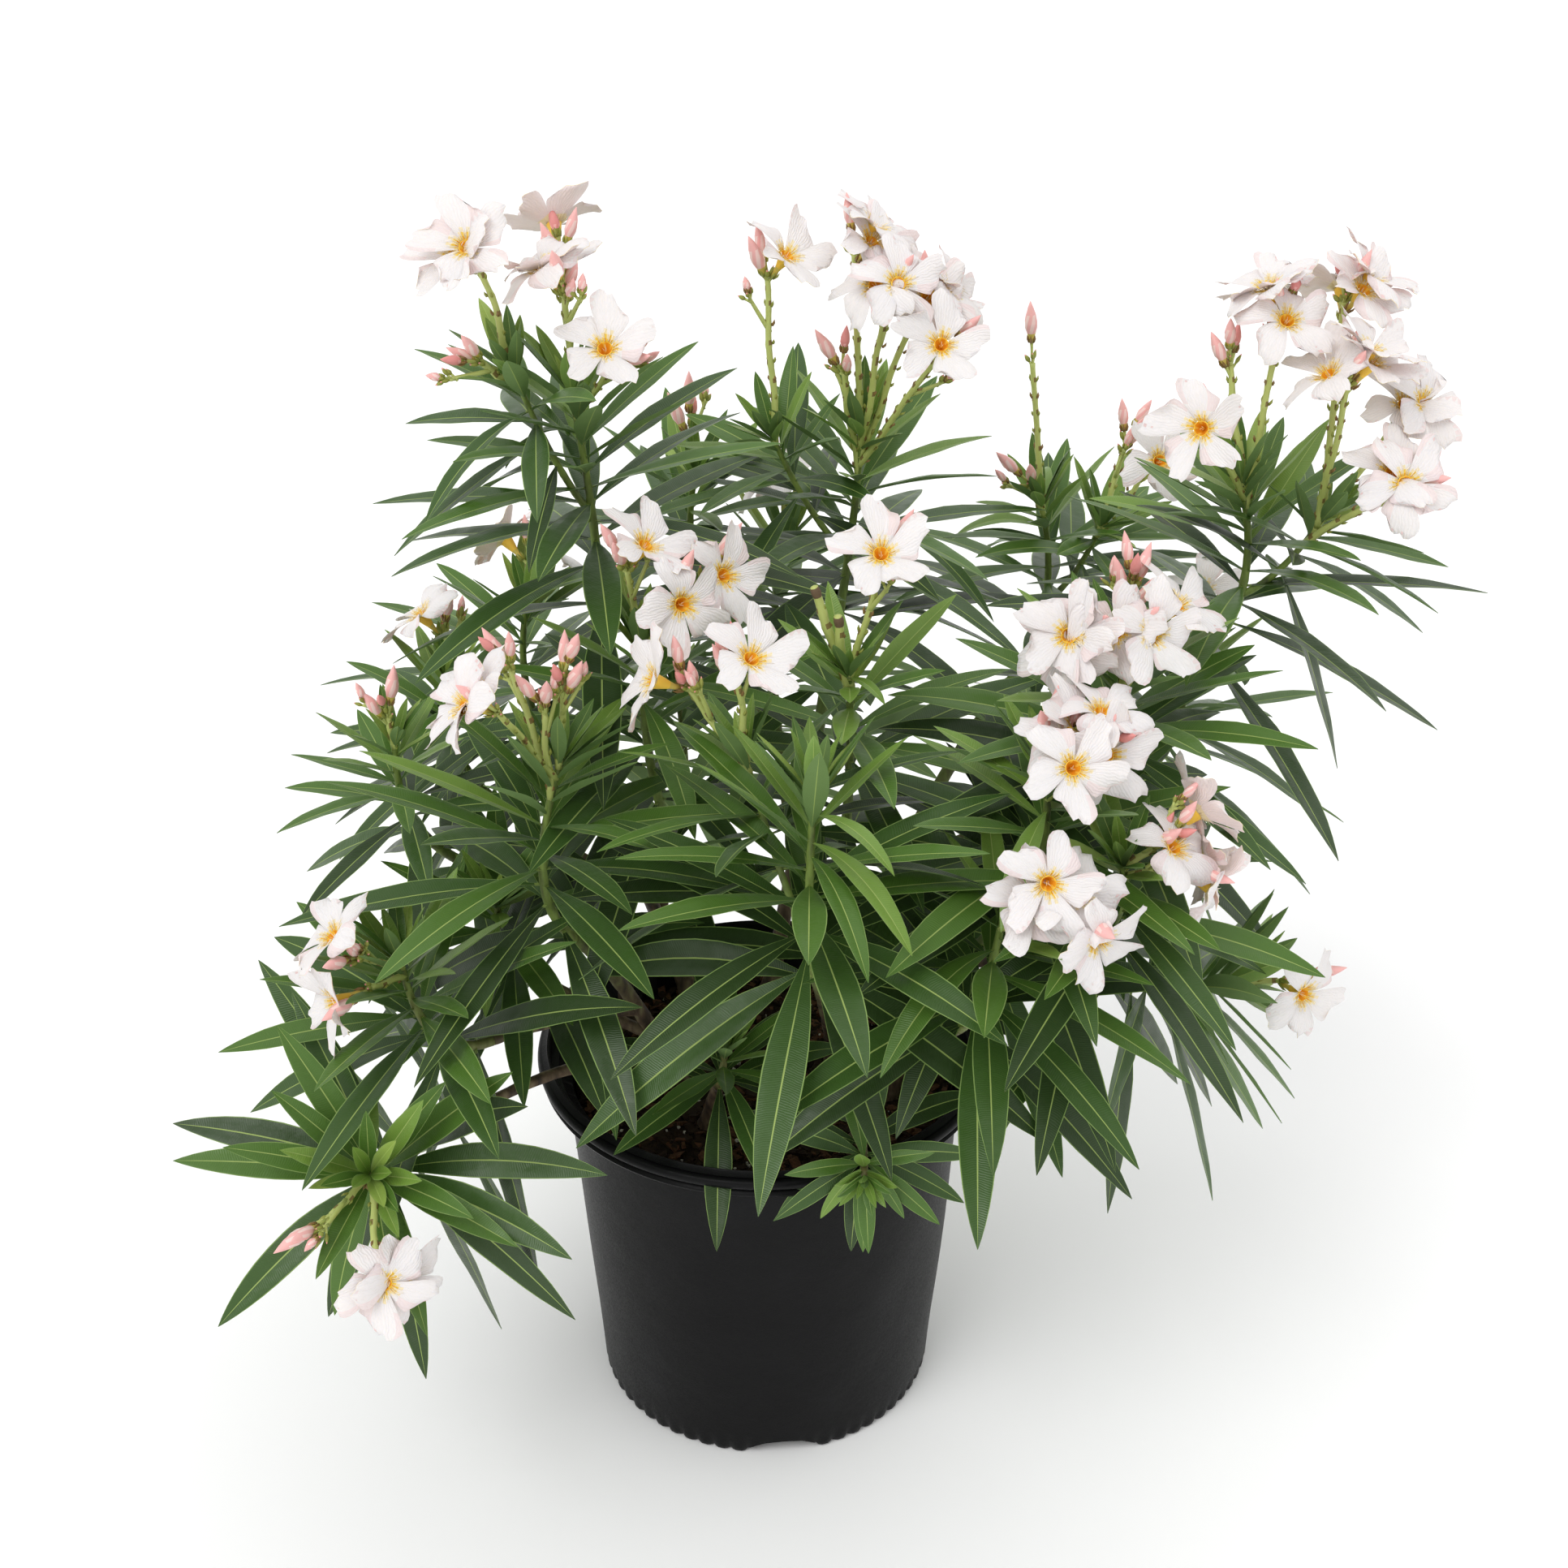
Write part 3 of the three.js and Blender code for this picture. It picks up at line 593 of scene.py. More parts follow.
@dataclass
class Piece:
    """One joined piece of the model, gathered form by form: its name, a slot name that nothing reads, the
    finishes that its forms' finish numbers mean, and its crease, the degrees between two faces beyond
    which their edge is sharp."""

    name: str
    slot: str
    finishes: Sequence[Finish]
    crease: float = 80.0
    forms: list[Form] = field(default_factory=list)

    def add(self, form: Form) -> None:
        """Adds a form to the piece."""
        self.forms.append(form)

    def build(self, *nodes: str) -> bpy.types.Object:
        """Makes the object, ties it to the frame and reports it.

        Args:
            nodes: The frame's nodes that the piece stands for.

        Returns:
            The object.
        """
        firsts = np.cumsum([0, *(len(form.points) for form in self.forms)])
        parts = [
            (faces + first, numbers)
            for form, first in zip(self.forms, firsts) for faces, numbers in form.faces
        ]
        corners = np.concatenate([faces.ravel() for faces, _ in parts]).astype(np.int32)
        sizes = np.concatenate([np.full(len(faces), faces.shape[1]) for faces, _ in parts])
        starts = np.concatenate(([0], np.cumsum(sizes)[:-1])).astype(np.int32)
        numbers = np.concatenate([numbers for _, numbers in parts]).astype(np.int32)
        points = np.concatenate([form.points for form in self.forms]).astype(np.float32)
        places = np.concatenate(
            [np.zeros((len(f.points), 2)) if f.places is None else f.places for f in self.forms]
        )
        mesh = bpy.data.meshes.new(self.name)
        mesh.vertices.add(len(points))
        mesh.vertices.foreach_set("co", points.ravel())
        mesh.loops.add(len(corners))
        mesh.loops.foreach_set("vertex_index", corners)
        mesh.polygons.add(len(sizes))
        mesh.polygons.foreach_set("loop_start", starts)
        mesh.polygons.foreach_set("use_smooth", np.ones(len(sizes), dtype=bool))
        mesh.polygons.foreach_set("material_index", numbers)
        mesh.update(calc_edges=True)
        mesh.validate()
        uvs = places[corners].astype(np.float32).ravel()
        mesh.uv_layers.new(name="place").data.foreach_set("uv", uvs)
        mesh.set_sharp_from_angle(angle=math.radians(self.crease))
        for finish in self.finishes:
            mesh.materials.append(finish.material())
        made = shown(self.name, mesh)
        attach(made, BODY)
        if nodes:
            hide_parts(*nodes)
        log.info("%s: %d triangles, stands for %d nodes", self.name, np.sum(sizes - 2), len(nodes))
        return made


# ---- finishes


Colour = Triple
Socket = bpy.types.NodeSocket


def linear(colour: Colour) -> tuple[float, float, float, float]:
    """Returns a display colour, 0 to 255 each, as the shader's own linear colour."""
    shares = (channel / 255 for channel in colour)
    return (*(s / 12.92 if s <= 0.04045 else ((s + 0.055) / 1.055) ** 2.4 for s in shares), 1.0)


class Surface:
    """The nodes of one material."""

    NOISE_LOW, NOISE_HIGH = 0.3, 0.7

    def __init__(self, name: str) -> None:
        """Starts the material with its shader.

        Args:
            name: The material's name.
        """
        self.material = bpy.data.materials.new(name)
        self.material.use_nodes = True
        self.tree = self.material.node_tree
        self.shader = self.tree.nodes["Principled BSDF"]

    def set(self, **values: object) -> None:
        """Sets the shader's own sockets, named with _ for a space."""
        for name, value in values.items():
            self._put(self.shader, name.replace("_", " "), value)

    def node(
        self, kind: str, inputs: dict[str | int, object], **settings: object
    ) -> bpy.types.bpy_prop_collection:
        """Adds a node.

        Args:
            kind: Its type, without the prefix that all nodes share.
            inputs: Numbers for its sockets, or other nodes' sockets to link to them.
            settings: Its own choices.

        Returns:
            Its outputs.
        """
        made = self.tree.nodes.new(f"ShaderNode{kind}")
        for name, value in settings.items():
            setattr(made, name, value)
        for name, value in inputs.items():
            self._put(made, name, value)
        return made.outputs

    def _put(self, node: bpy.types.Node, name: str | int, value: object) -> None:
        """Gives a socket a number or links another socket to it.

        Args:
            node: The socket's node.
            name: The socket's name or number.
            value: The number, or the other socket.
        """
        if isinstance(value, Socket):
            self.tree.links.new(value, node.inputs[name])
        else:
            node.inputs[name].default_value = value

    def spot(self) -> Socket:
        """Returns the place on the object, in metres."""
        return self.node("TexCoord", {})["Object"]

    def blade(self) -> tuple[Socket, Socket]:
        """Returns how far along and how far across its leaf or petal a place lies, in metres."""
        parts = self.node("SeparateXYZ", {0: self.node("UVMap", {}, uv_map="place")["UV"]})
        return parts["X"], parts["Y"]

    def noise(self, size: float, detail: float = 3.0, stretch: Triple = (1, 1, 1)) -> Socket:
        """Makes soft noise over the object.

        Args:
            size: The size of its patches in metres.
            detail: How many finer layers it has.
            stretch: How much finer it is along each axis.

        Returns:
            The noise, from 0 to 1.
        """
        mapped = self.node("Mapping", {"Vector": self.spot(), "Scale": stretch})[0]
        return self.node("TexNoise", {"Vector": mapped, "Scale": 1 / size, "Detail": detail})["Fac"]

    def ramp(self, share: Socket, stops: Sequence[tuple[float, Colour]]) -> Socket:
        """Picks a colour from some stops.

        Args:
            share: Where between the stops the colour lies, from 0 to 1.
            stops: The stops, each a place and a colour.

        Returns:
            The colour.
        """
        picked = self.node("ValToRGB", {"Fac": share})["Color"]
        elements = picked.node.color_ramp.elements
        while len(elements) < len(stops):
            elements.new(0.5)
        for element, (at, colour) in zip(elements, stops):
            element.position = at
            element.color = linear(colour)
        return picked

    def spread(self, share: Socket, low: float, high: float) -> Socket:
        """Returns noise spread over a range from low to high."""
        return self.between(share, self.NOISE_LOW, self.NOISE_HIGH, low, high)

    def between(self, value: Socket, start: float, end: float, low: float, high: float) -> Socket:
        """Returns a value that wanders from start to end, mapped onto low to high."""
        values = {"Value": value, "From Min": start, "From Max": end, "To Min": low, "To Max": high}
        return self.node("MapRange", values)["Result"]

    def math(self, kind: str, first: object, second: object = 0.0) -> Socket:
        """Returns a sum, product or other function of two numbers or sockets."""
        return self.node("Math", {0: first, 1: second}, operation=kind)[0]

    def ripples(self, place: Socket, wobble: Socket, spacing: float) -> Socket:
        """Returns waves from -1 to 1 along a direction, bent by a wobble and spaced in metres."""
        bent = self.math("ADD", place, wobble)
        return self.math("SINE", self.math("MULTIPLY", bent, 2 * math.pi / spacing))

    def bump(self, height: Socket, depth: float, under: Socket | None = None) -> Socket:
        """Makes a relief.

        Args:
            height: Its height, from 0 to 1.
            depth: Its depth in metres.
            under: The normal of a coarser relief below it.

        Returns:
            Its normal.
        """
        values = {"Height": height, "Distance": depth, "Strength": 1.0}
        if under is not None:
            values["Normal"] = under
        return self.node("Bump", values)["Normal"]


@dataclass(frozen=True)
class Finish:
    """One even colour with a fine grain in its gloss and relief."""

    name: str
    colour: Colour
    gloss: Pair = (0.5, 0.65)
    grain: float = 0.004
    depth: float = 0.0001
    soft: float = 0.0
    soft_depth: float = 0.002
    soft_tint: Colour = (1.0, 0.8, 0.6)
    specular: float = 0.5

    def material(self) -> bpy.types.Material:
        """Dresses the finish's material, once.

        Returns:
            The material.
        """
        known = bpy.data.materials.get(self.name)
        if known:
            return known
        surface = Surface(self.name)
        surface.set(Base_Color=linear(self.colour), Specular_IOR_Level=self.specular)
        self._dress(surface)
        if self.soft:
            surface.set(Subsurface_Weight=self.soft, Subsurface_Scale=self.soft_depth)
            surface.set(Subsurface_Radius=self.soft_tint)
        return surface.material

    def _dress(self, surface: Surface) -> None:
        """Fills in the rest of the material's nodes."""
        grain = surface.noise(self.grain)
        self._lay(surface, grain, surface.bump(grain, self.depth))

    def _lay(self, surface: Surface, patches: Socket, normal: Socket) -> None:
        """Gives the surface its gloss, which wanders in patches, and its relief."""
        surface.set(Roughness=surface.spread(patches, *self.gloss), Normal=normal)


@dataclass(frozen=True)
class LeafFinish(Finish):
    """A leaf's face, with fine veins that run out from the midrib to the margin."""

    gloss: Pair = (0.3, 0.46)
    specular: float = 0.4
    vein: float = 0.0013
    slant: float = 0.35
    vein_depth: float = 0.00003
    uneven: float = 0.012
    uneven_depth: float = 0.0006

    def _dress(self, surface: Surface) -> None:
        """Fills in the material's nodes.

        Args:
            surface: The material's nodes so far.
        """
        along, across = surface.blade()
        outward = surface.math("ABSOLUTE", across)
        wobble = surface.math("MULTIPLY", surface.noise(0.006, 1.0), self.vein * 1.5)
        slanted = surface.math("SUBTRACT", along, surface.math("MULTIPLY", outward, self.slant))
        wave = surface.ripples(slanted, wobble, self.vein)
        patches = surface.noise(self.uneven, 4.0)
        under = surface.bump(patches, self.uneven_depth)
        self._lay(surface, patches, surface.bump(wave, self.vein_depth, under))


@dataclass(frozen=True)
class PetalFinish(Finish):
    """A petal's face, soft and thin, with fine ribs that fan out along it."""

    soft: float = 0.25
    specular: float = 0.25
    rib: float = 0.0018
    rib_depth: float = 0.00007
    crumple: float = 0.006
    crumple_depth: float = 0.0005

    def _dress(self, surface: Surface) -> None:
        """Fills in the material's nodes.

        Args:
            surface: The material's nodes so far.
        """
        wobble = surface.math("MULTIPLY", surface.noise(0.004, 2.0), self.rib * 2)
        wave = surface.ripples(surface.blade()[1], wobble, self.rib)
        crumple = surface.noise(self.crumple)
        under = surface.bump(crumple, self.crumple_depth)
        self._lay(surface, crumple, surface.bump(wave, self.rib_depth, under))


@dataclass(frozen=True)
class PatchyFinish(Finish):
    """A surface whose colour wanders between several."""

    others: tuple[tuple[float, Colour], ...] = ()
    patch: float = 0.01
    stretch: Triple = (1.0, 1.0, 1.0)
    coarse: float = 0.02
    coarse_depth: float = 0.0

    def _dress(self, surface: Surface) -> None:
        """Fills in the material's nodes.

        Args:
            surface: The material's nodes so far.
        """
        patches = surface.noise(self.patch, 5.0, self.stretch)
        surface.set(Base_Color=surface.ramp(patches, [(surface.NOISE_LOW, self.colour), *self.others]))
        grain = surface.noise(self.grain, 4.0, self.stretch)
        under = surface.bump(surface.noise(self.coarse), self.coarse_depth) if self.coarse_depth else None
        self._lay(surface, grain, surface.bump(grain, self.depth, under))


@dataclass(frozen=True)
class BarkFinish(Finish):
    """Bark that turns from brown at the soil to green above, with small raised pores."""

    shade: Colour = (60, 48, 38)
    pale: Colour = (132, 116, 92)
    young: Colour = (96, 112, 52)
    young_shade: Colour = (70, 80, 40)
    woody_below: float = 0.29
    green_above: float = 0.38
    wander: float = 0.12
    pore_spacing: float = 0.0035
    pore_size: float = 0.22

    def _dress(self, surface: Surface) -> None:
        """Fills in the material's nodes.

        Args:
            surface: The material's nodes so far.
        """
        streaks = surface.noise(0.006, 5.0, (1.0, 1.0, 0.3))
        wood = surface.ramp(streaks, [(0.35, self.shade), (0.5, self.colour), (0.68, self.pale)])
        green = surface.ramp(streaks, [(0.3, self.young_shade), (0.6, self.young)])
        place = surface.spot()
        height = surface.node("SeparateXYZ", {0: place})["Z"]
        wander = surface.math("MULTIPLY", surface.math("SUBTRACT", streaks, 0.5), self.wander)
        uneven = surface.math("ADD", height, wander)
        share = surface.between(uneven, self.woody_below, self.green_above, 0.0, 1.0)
        mixed = surface.node("Mix", {"Factor": share, 6: wood, 7: green}, data_type="RGBA")
        surface.set(Base_Color=mixed[2])
        pores = surface.node("TexVoronoi", {"Vector": place, "Scale": 1 / self.pore_spacing})
        dots = surface.math("LESS_THAN", pores["Distance"], self.pore_size)
        under = surface.bump(streaks, self.depth * 3)
        self._lay(surface, streaks, surface.bump(dots, self.depth, under))


POT_PLASTIC = PatchyFinish(
    "pot_plastic", (11, 11, 12), gloss=(0.36, 0.52), grain=0.0012, depth=0.00006, specular=0.12,
    others=((0.6, (14, 14, 15)), (0.75, (19, 19, 21))), patch=0.05, coarse=0.03, coarse_depth=0.0006,
)
SOIL_CRUMB = PatchyFinish(
    "soil_crumb", (18, 14, 11), gloss=(0.85, 1.0), grain=0.0018, depth=0.0012,
    others=((0.5, (36, 27, 21)), (0.7, (58, 43, 32))), patch=0.006, specular=0.15,
)
CHIP_DARK = PatchyFinish(
    "chip_dark", (32, 23, 18), gloss=(0.8, 0.95), grain=0.001, depth=0.0003,
    others=((0.6, (54, 39, 29)),), patch=0.004, stretch=(1.0, 3.0, 1.0), specular=0.2,
)
CHIP_RED = replace(
    CHIP_DARK, name="chip_red", colour=(66, 42, 30), gloss=(0.75, 0.95), others=((0.6, (98, 66, 46)),)
)
PERLITE = Finish("perlite", (196, 190, 180), gloss=(0.8, 0.95), grain=0.001, depth=0.0003)
BARK = BarkFinish("bark", (98, 80, 62), gloss=(0.6, 0.85), depth=0.0002)
YOUNG_BARK = BarkFinish(
    "young_bark", (112, 104, 62), gloss=(0.5, 0.7), depth=0.00012, young=(120, 142, 62),
    shade=(84, 78, 44), woody_below=0.24, green_above=0.4,
)
STALK = Finish("stalk", (184, 194, 112), gloss=(0.45, 0.6), grain=0.002, depth=0.00015, soft=0.15)
STALK_NODE = Finish("stalk_node", (130, 112, 62), gloss=(0.6, 0.8), grain=0.001, depth=0.0002)
STALK_DRY = Finish("stalk_dry", (104, 84, 62), gloss=(0.7, 0.9), grain=0.001, depth=0.0003)
# The upper tints of the leaves, darkest to palest. The dark ones go on low leaves, partly as older leaves
# and partly as painted shade. The pale ones go on high leaves, partly as young leaves and partly as
# painted light.
LEAF_OLD_SHADED = LeafFinish("leaf_old", (46, 68, 30))
LEAF_DEEP_SHADED = LeafFinish("leaf_deep", (57, 86, 34))
LEAF_GROWN = LeafFinish("leaf_grown", (76, 110, 40))
LEAF_FRESH_LIT = LeafFinish("leaf_fresh", (110, 142, 58), soft=0.08)
LEAF_YOUNG_LIT = LeafFinish("leaf_young", (144, 170, 80), soft=0.12)
LEAF_UNDER = LeafFinish("leaf_under", (106, 134, 76), gloss=(0.62, 0.78), vein_depth=0.00002)
LEAF_UNDER_YOUNG = LeafFinish("leaf_under_young", (130, 164, 84), gloss=(0.6, 0.75), soft=0.15)
MIDRIB = Finish("midrib", (152, 172, 96), grain=0.002, depth=0.00008, specular=0.3)
MIDRIB_YOUNG = Finish("midrib_young", (174, 196, 108), grain=0.002, depth=0.00008)
LEAF_STALK = Finish("leaf_stalk", (130, 150, 74), gloss=(0.5, 0.6), grain=0.002, depth=0.0001)
MARGIN = Finish("leaf_margin", (128, 154, 86), grain=0.002, depth=0.00005, specular=0.3)
PETAL_WHITE = PetalFinish("petal_white", (237, 231, 229))
PETAL_BLUSH = PetalFinish("petal_blush", (236, 219, 217))
PETAL_PINK = PetalFinish("petal_pink", (233, 200, 197))
THROAT_CREAM = PetalFinish("throat_cream", (242, 224, 182))
THROAT_YELLOW = PetalFinish("throat_yellow", (246, 202, 80))
THROAT_ORANGE = PetalFinish("throat_orange", (236, 164, 38))
FILAMENT = Finish("filament", (246, 236, 218), gloss=(0.5, 0.6), grain=0.001, depth=0.00005, soft=0.2)
TUBE_FOOT = Finish("tube_foot", (214, 190, 90), gloss=(0.5, 0.6), grain=0.002, depth=0.0001, soft=0.2)
BUD_PINK = Finish("bud_pink", (242, 184, 180), gloss=(0.45, 0.6), grain=0.0015, depth=0.00015, soft=0.2)
BUD_PALE = replace(BUD_PINK, name="bud_pale", colour=(247, 214, 208))
BUD_DEEP = replace(BUD_PINK, name="bud_deep", colour=(228, 150, 146))
BUD_FOOT = replace(BUD_PINK, name="bud_foot", colour=(216, 196, 98), depth=0.0001)
SEPAL = Finish("sepal", (138, 108, 62), grain=0.001, depth=0.0001)
SEPAL_GREEN = replace(SEPAL, name="sepal_green", colour=(150, 156, 72))
FLOOR_PAPER = Finish("floor_paper", (255, 255, 255), gloss=(0.9, 1.0), depth=0.0)


# ---- room


class Room:
    """The space that is taken so far, as simple nets with the boxes that they fill."""

    def __init__(self) -> None:
        """Starts with all space free."""
        self._lows: list[Array] = []
        self._highs: list[Array] = []
        self._trees: list[BVHTree] = []

    def take(self, points: Array, faces: Array) -> None:
        """Notes a net as taken.

        Args:
            points: Its points.
            faces: Its faces.
        """
        self._lows.append(points.min(axis=0))
        self._highs.append(points.max(axis=0))
        self._trees.append(BVHTree.FromPolygons(points.tolist(), faces.tolist()))

    def is_clear(self, points: Array, faces: Array) -> bool:
        """Tells whether a net crosses nothing that is taken.

        Args:
            points: Its points.
            faces: Its faces.

        Returns:
            True if it crosses nothing.
        """
        if not self._trees:
            return True
        apart = np.array(self._lows) > points.max(axis=0)
        apart |= np.array(self._highs) < points.min(axis=0)
        near = np.nonzero(~apart.any(axis=1))[0]
        if not len(near):
            return True
        net = BVHTree.FromPolygons(points.tolist(), faces.tolist())
        return not any(net.overlap(self._trees[i]) for i in near)


def rod_net(path: Array, radius: float) -> tuple[Array, Array]:
    """Returns a three-sided net round a path, to keep other things clear of it."""
    rod = tube(path, np.full(len(path), radius), 3)
    return rod.points, rod.faces[0][0]


# ---- leaves


class AgeAndLight(Enum):
    """How old a leaf is and how lit it is painted, with its upper finish's number. The paler tints are
    for young leaves high up and also stand for painted light. The darker ones are for older leaves low
    down and also stand for painted shade.
    """

    OLD = 0
    DEEP = 1
    GROWN = 2
    FRESH = 3
    YOUNG = 4


@dataclass(frozen=True)
class LeafWish:
    """Where a leaf grows and how it would lie if nothing were in its way."""

    root: Array
    axis: Array
    turn: float
    opening: float
    droop: float
    length: float
    age: AgeAndLight
    twist: float
    fold: float
    ripple: float


@dataclass
class LeafMaker:
    """Makes lance-shaped leaves: a folded, arching blade on a short stalk, with its midrib.

    Sizes across a leaf are shares of its half width, and those along it shares of its length.
    """

    width: float = 0.15
    grown_length: float = 0.15
    broadest: float = 0.5
    broader: float = 0.26
    swelling: float = 1.15
    taper: float = 2.1
    tip_roundness: float = 0.9
    narrowest: float = 0.015
    thickness: float = 0.00045
    rib_share: float = 0.04
    rib_depth: float = 0.0006
    rib_thinning: float = 0.8
    stalk_width: float = 0.12
    stalk_end: float = 0.13
    sunk: float = 0.0008
    towards_sky: float = 0.35
    bend: float = 1.15
    hollow: float = 0.55
    ripples: float = 2.6
    ripple_height: float = 0.04
    ripple_lag: float = 2.0
    rows: int = 15
    lanes: tuple[float, ...] = (-1.0, -0.94, -0.5, -0.04, 0.04, 0.5, 0.94, 1.0)
    net_rows: int = 6
    net_rise: float = 0.12
    finishes: tuple[Finish, ...] = (
        LEAF_OLD_SHADED, LEAF_DEEP_SHADED, LEAF_GROWN, LEAF_FRESH_LIT, LEAF_YOUNG_LIT,
        LEAF_UNDER, LEAF_UNDER_YOUNG, MIDRIB, MIDRIB_YOUNG, LEAF_STALK, MARGIN,
    )
    under: int = 5
    rib: int = 7
    petiole: int = 9
    margin: int = 10
    sheet: SheetPair = field(init=False)
    net_faces: Array = field(init=False)

    def __post_init__(self) -> None:
        """Works out the grids that all the leaves share."""
        self.sheet = SheetPair(self.rows, len(self.lanes))
        self.net_faces = SheetPair.grid(np.arange(self.net_rows * 3).reshape(-1, 3))

    def half_widths(self, shares: Array, length: float) -> Array:
        """Works out how wide a leaf is: short leaves are broader for their length.

        Args:
            shares: The places along it.
            length: Its length.

        Returns:
            Its half width at each place.
        """
        below = np.sin(math.pi / 2 * np.clip(shares / self.broadest, 0, 1)) ** self.swelling
        beyond = np.clip((shares - self.broadest) / (1 - self.broadest), 0, 1)
        blade = np.where(shares < self.broadest, below, (1 - beyond**self.taper) ** self.tip_roundness)
        stalk = self.stalk_width * np.clip(1 - shares * 2, 0, 1)
        widest = self.width * length * (self.grown_length / length) ** self.broader
        return np.maximum(np.maximum(blade, stalk), self.narrowest) * widest / 2

    def spine(self, wish: LeafWish, way: Array, shares: Array) -> tuple[Array, ...]:
        """Runs the leaf's middle line and the directions across and up from it.

        Args:
            wish: The leaf.
            way: The direction in which it sets out.
            shares: The places along it.

        Returns:
            The middle line's points, and the ways across and up at each of them.
        """
        side = unit(np.cross(wish.axis, way))
        up = unit(np.cross(way, side) + self.towards_sky * UP)
        along = unit(way - UP * (wish.droop * self.bend * shares)[:, None])
        steps = (along[1:] + along[:-1]) / 2 * (np.diff(shares) * wish.length)[:, None]
        start = wish.root - way * self.sunk
        line = np.concatenate((start[None], start + np.cumsum(steps, axis=0)))
        across = unit(np.cross(up, along))
        above = np.cross(along, across)
        angle = np.radians(wish.twist * shares)[:, None]
        turned_across = across * np.cos(angle) + above * np.sin(angle)
        return line, turned_across, above * np.cos(angle) - across * np.sin(angle)

    def net(self, wish: LeafWish, way: Array) -> Array:
        """Lays out the few points that stand for the leaf, beyond its stalk, where it must fit.

        Args:
            wish: The leaf.
            way: The direction in which it sets out.

        Returns:
            The points, three to a row.
        """
        shares = np.linspace(self.stalk_end, 1.0, self.net_rows)
        line, across, above = self.spine(wish, way, np.concatenate(([0.0], shares)))
        half = self.half_widths(shares, wish.length)[:, None]
        rise = half * self.net_rise * above[1:]
        rows = (line[1:] - half * across[1:] + rise, line[1:], line[1:] + half * across[1:] + rise)
        return np.stack(rows, axis=1).reshape(-1, 3)

    def form(self, wish: LeafWish, way: Array) -> Form:
        """Makes the leaf.

        Args:
            wish: Where it grows and how it lies.
            way: The direction in which it sets out.

        Returns:
            The closed blade with its midrib.
        """
        even = np.linspace(0.0, 1.0, self.rows)
        shares = (even + (1 - np.cos(math.pi * even)) / 2) / 2
        line, across, above = self.spine(wish, way, shares)
        half = self.half_widths(shares, wish.length)[:, None]
        lanes = np.array(self.lanes)
        beside = np.clip(np.abs(lanes) - self.rib_share, 0, 1)
        height = half * (wish.fold * beside - self.hollow * wish.fold * lanes**2)
        lag = self.ripple_lag * (lanes > 0)
        wave = np.sin(2 * math.pi * self.ripples * shares[:, None] + wish.ripple + lag)
        height += half * self.ripple_height * wave * lanes**2
        upper = line[:, None] + (half * lanes)[..., None] * across[:, None]
        upper = upper + height[..., None] * above[:, None]
        inner = lanes[1:-1]
        deep = self.thickness * np.sqrt(1 - inner**2) * (0.4 + 0.6 * np.sqrt(half / half.max()))
        rib_depth = self.rib_depth * (1 - self.rib_thinning * shares)
        deep = deep + (np.abs(inner) <= self.rib_share) * rib_depth[:, None]
        lower = upper[:, 1:-1] - deep[..., None] * above[:, None]
        places = np.stack(np.broadcast_arrays(shares[:, None] * wish.length, half * lanes), axis=-1)
        return self.sheet.form(upper, lower, self._numbers(wish.age), places)

    def _numbers(self, age: AgeAndLight) -> tuple[Array, Array]:
        """Picks the finishes of a leaf's faces.

        Args:
            age: How old the leaf is and how lit it is painted, which picks its upper tint.

        Returns:
            The finish numbers of its upper and of its lower faces.
        """
        strips = len(self.lanes) - 1
        young = age is AgeAndLight.YOUNG
        upper = np.full((self.rows - 1, strips), age.value)
        lower = np.full((self.rows - 1, strips), self.under + young)
        upper[:, (0, -1)] = self.margin
        upper[:, strips // 2] = self.rib + young
        lower[:, strips // 2] = self.rib + young
        upper[0] = lower[0] = self.petiole
        return upper.ravel(), lower.ravel()


# ---- blossom


def ray(angle: float) -> Array:
    """Returns the level unit vector at an angle in radians."""
    return np.array((math.cos(angle), math.sin(angle), 0.0))


class Facing:
    """A flower's own axes: up along it, from the point where it sits on its stalk."""

    def __init__(self, foot: Array, way: Array) -> None:
        """Settles the axes from where the flower's stalk begins and where it faces."""
        self.foot, self.way = foot, way
        self.first, self.second = crosswise(way)

    def place(self, points: Array) -> Array:
        """Returns points given in the flower's own axes, as points of the plant."""
        x, y, z = points[..., :1], points[..., 1:2], points[..., 2:]
        return self.foot + x * self.first + y * self.second + z * self.way

    def seat(self, form: Form) -> Form:
        """Returns a form made in the flower's own axes, at its place on the plant."""
        return Form(self.place(form.points), form.faces, form.places)


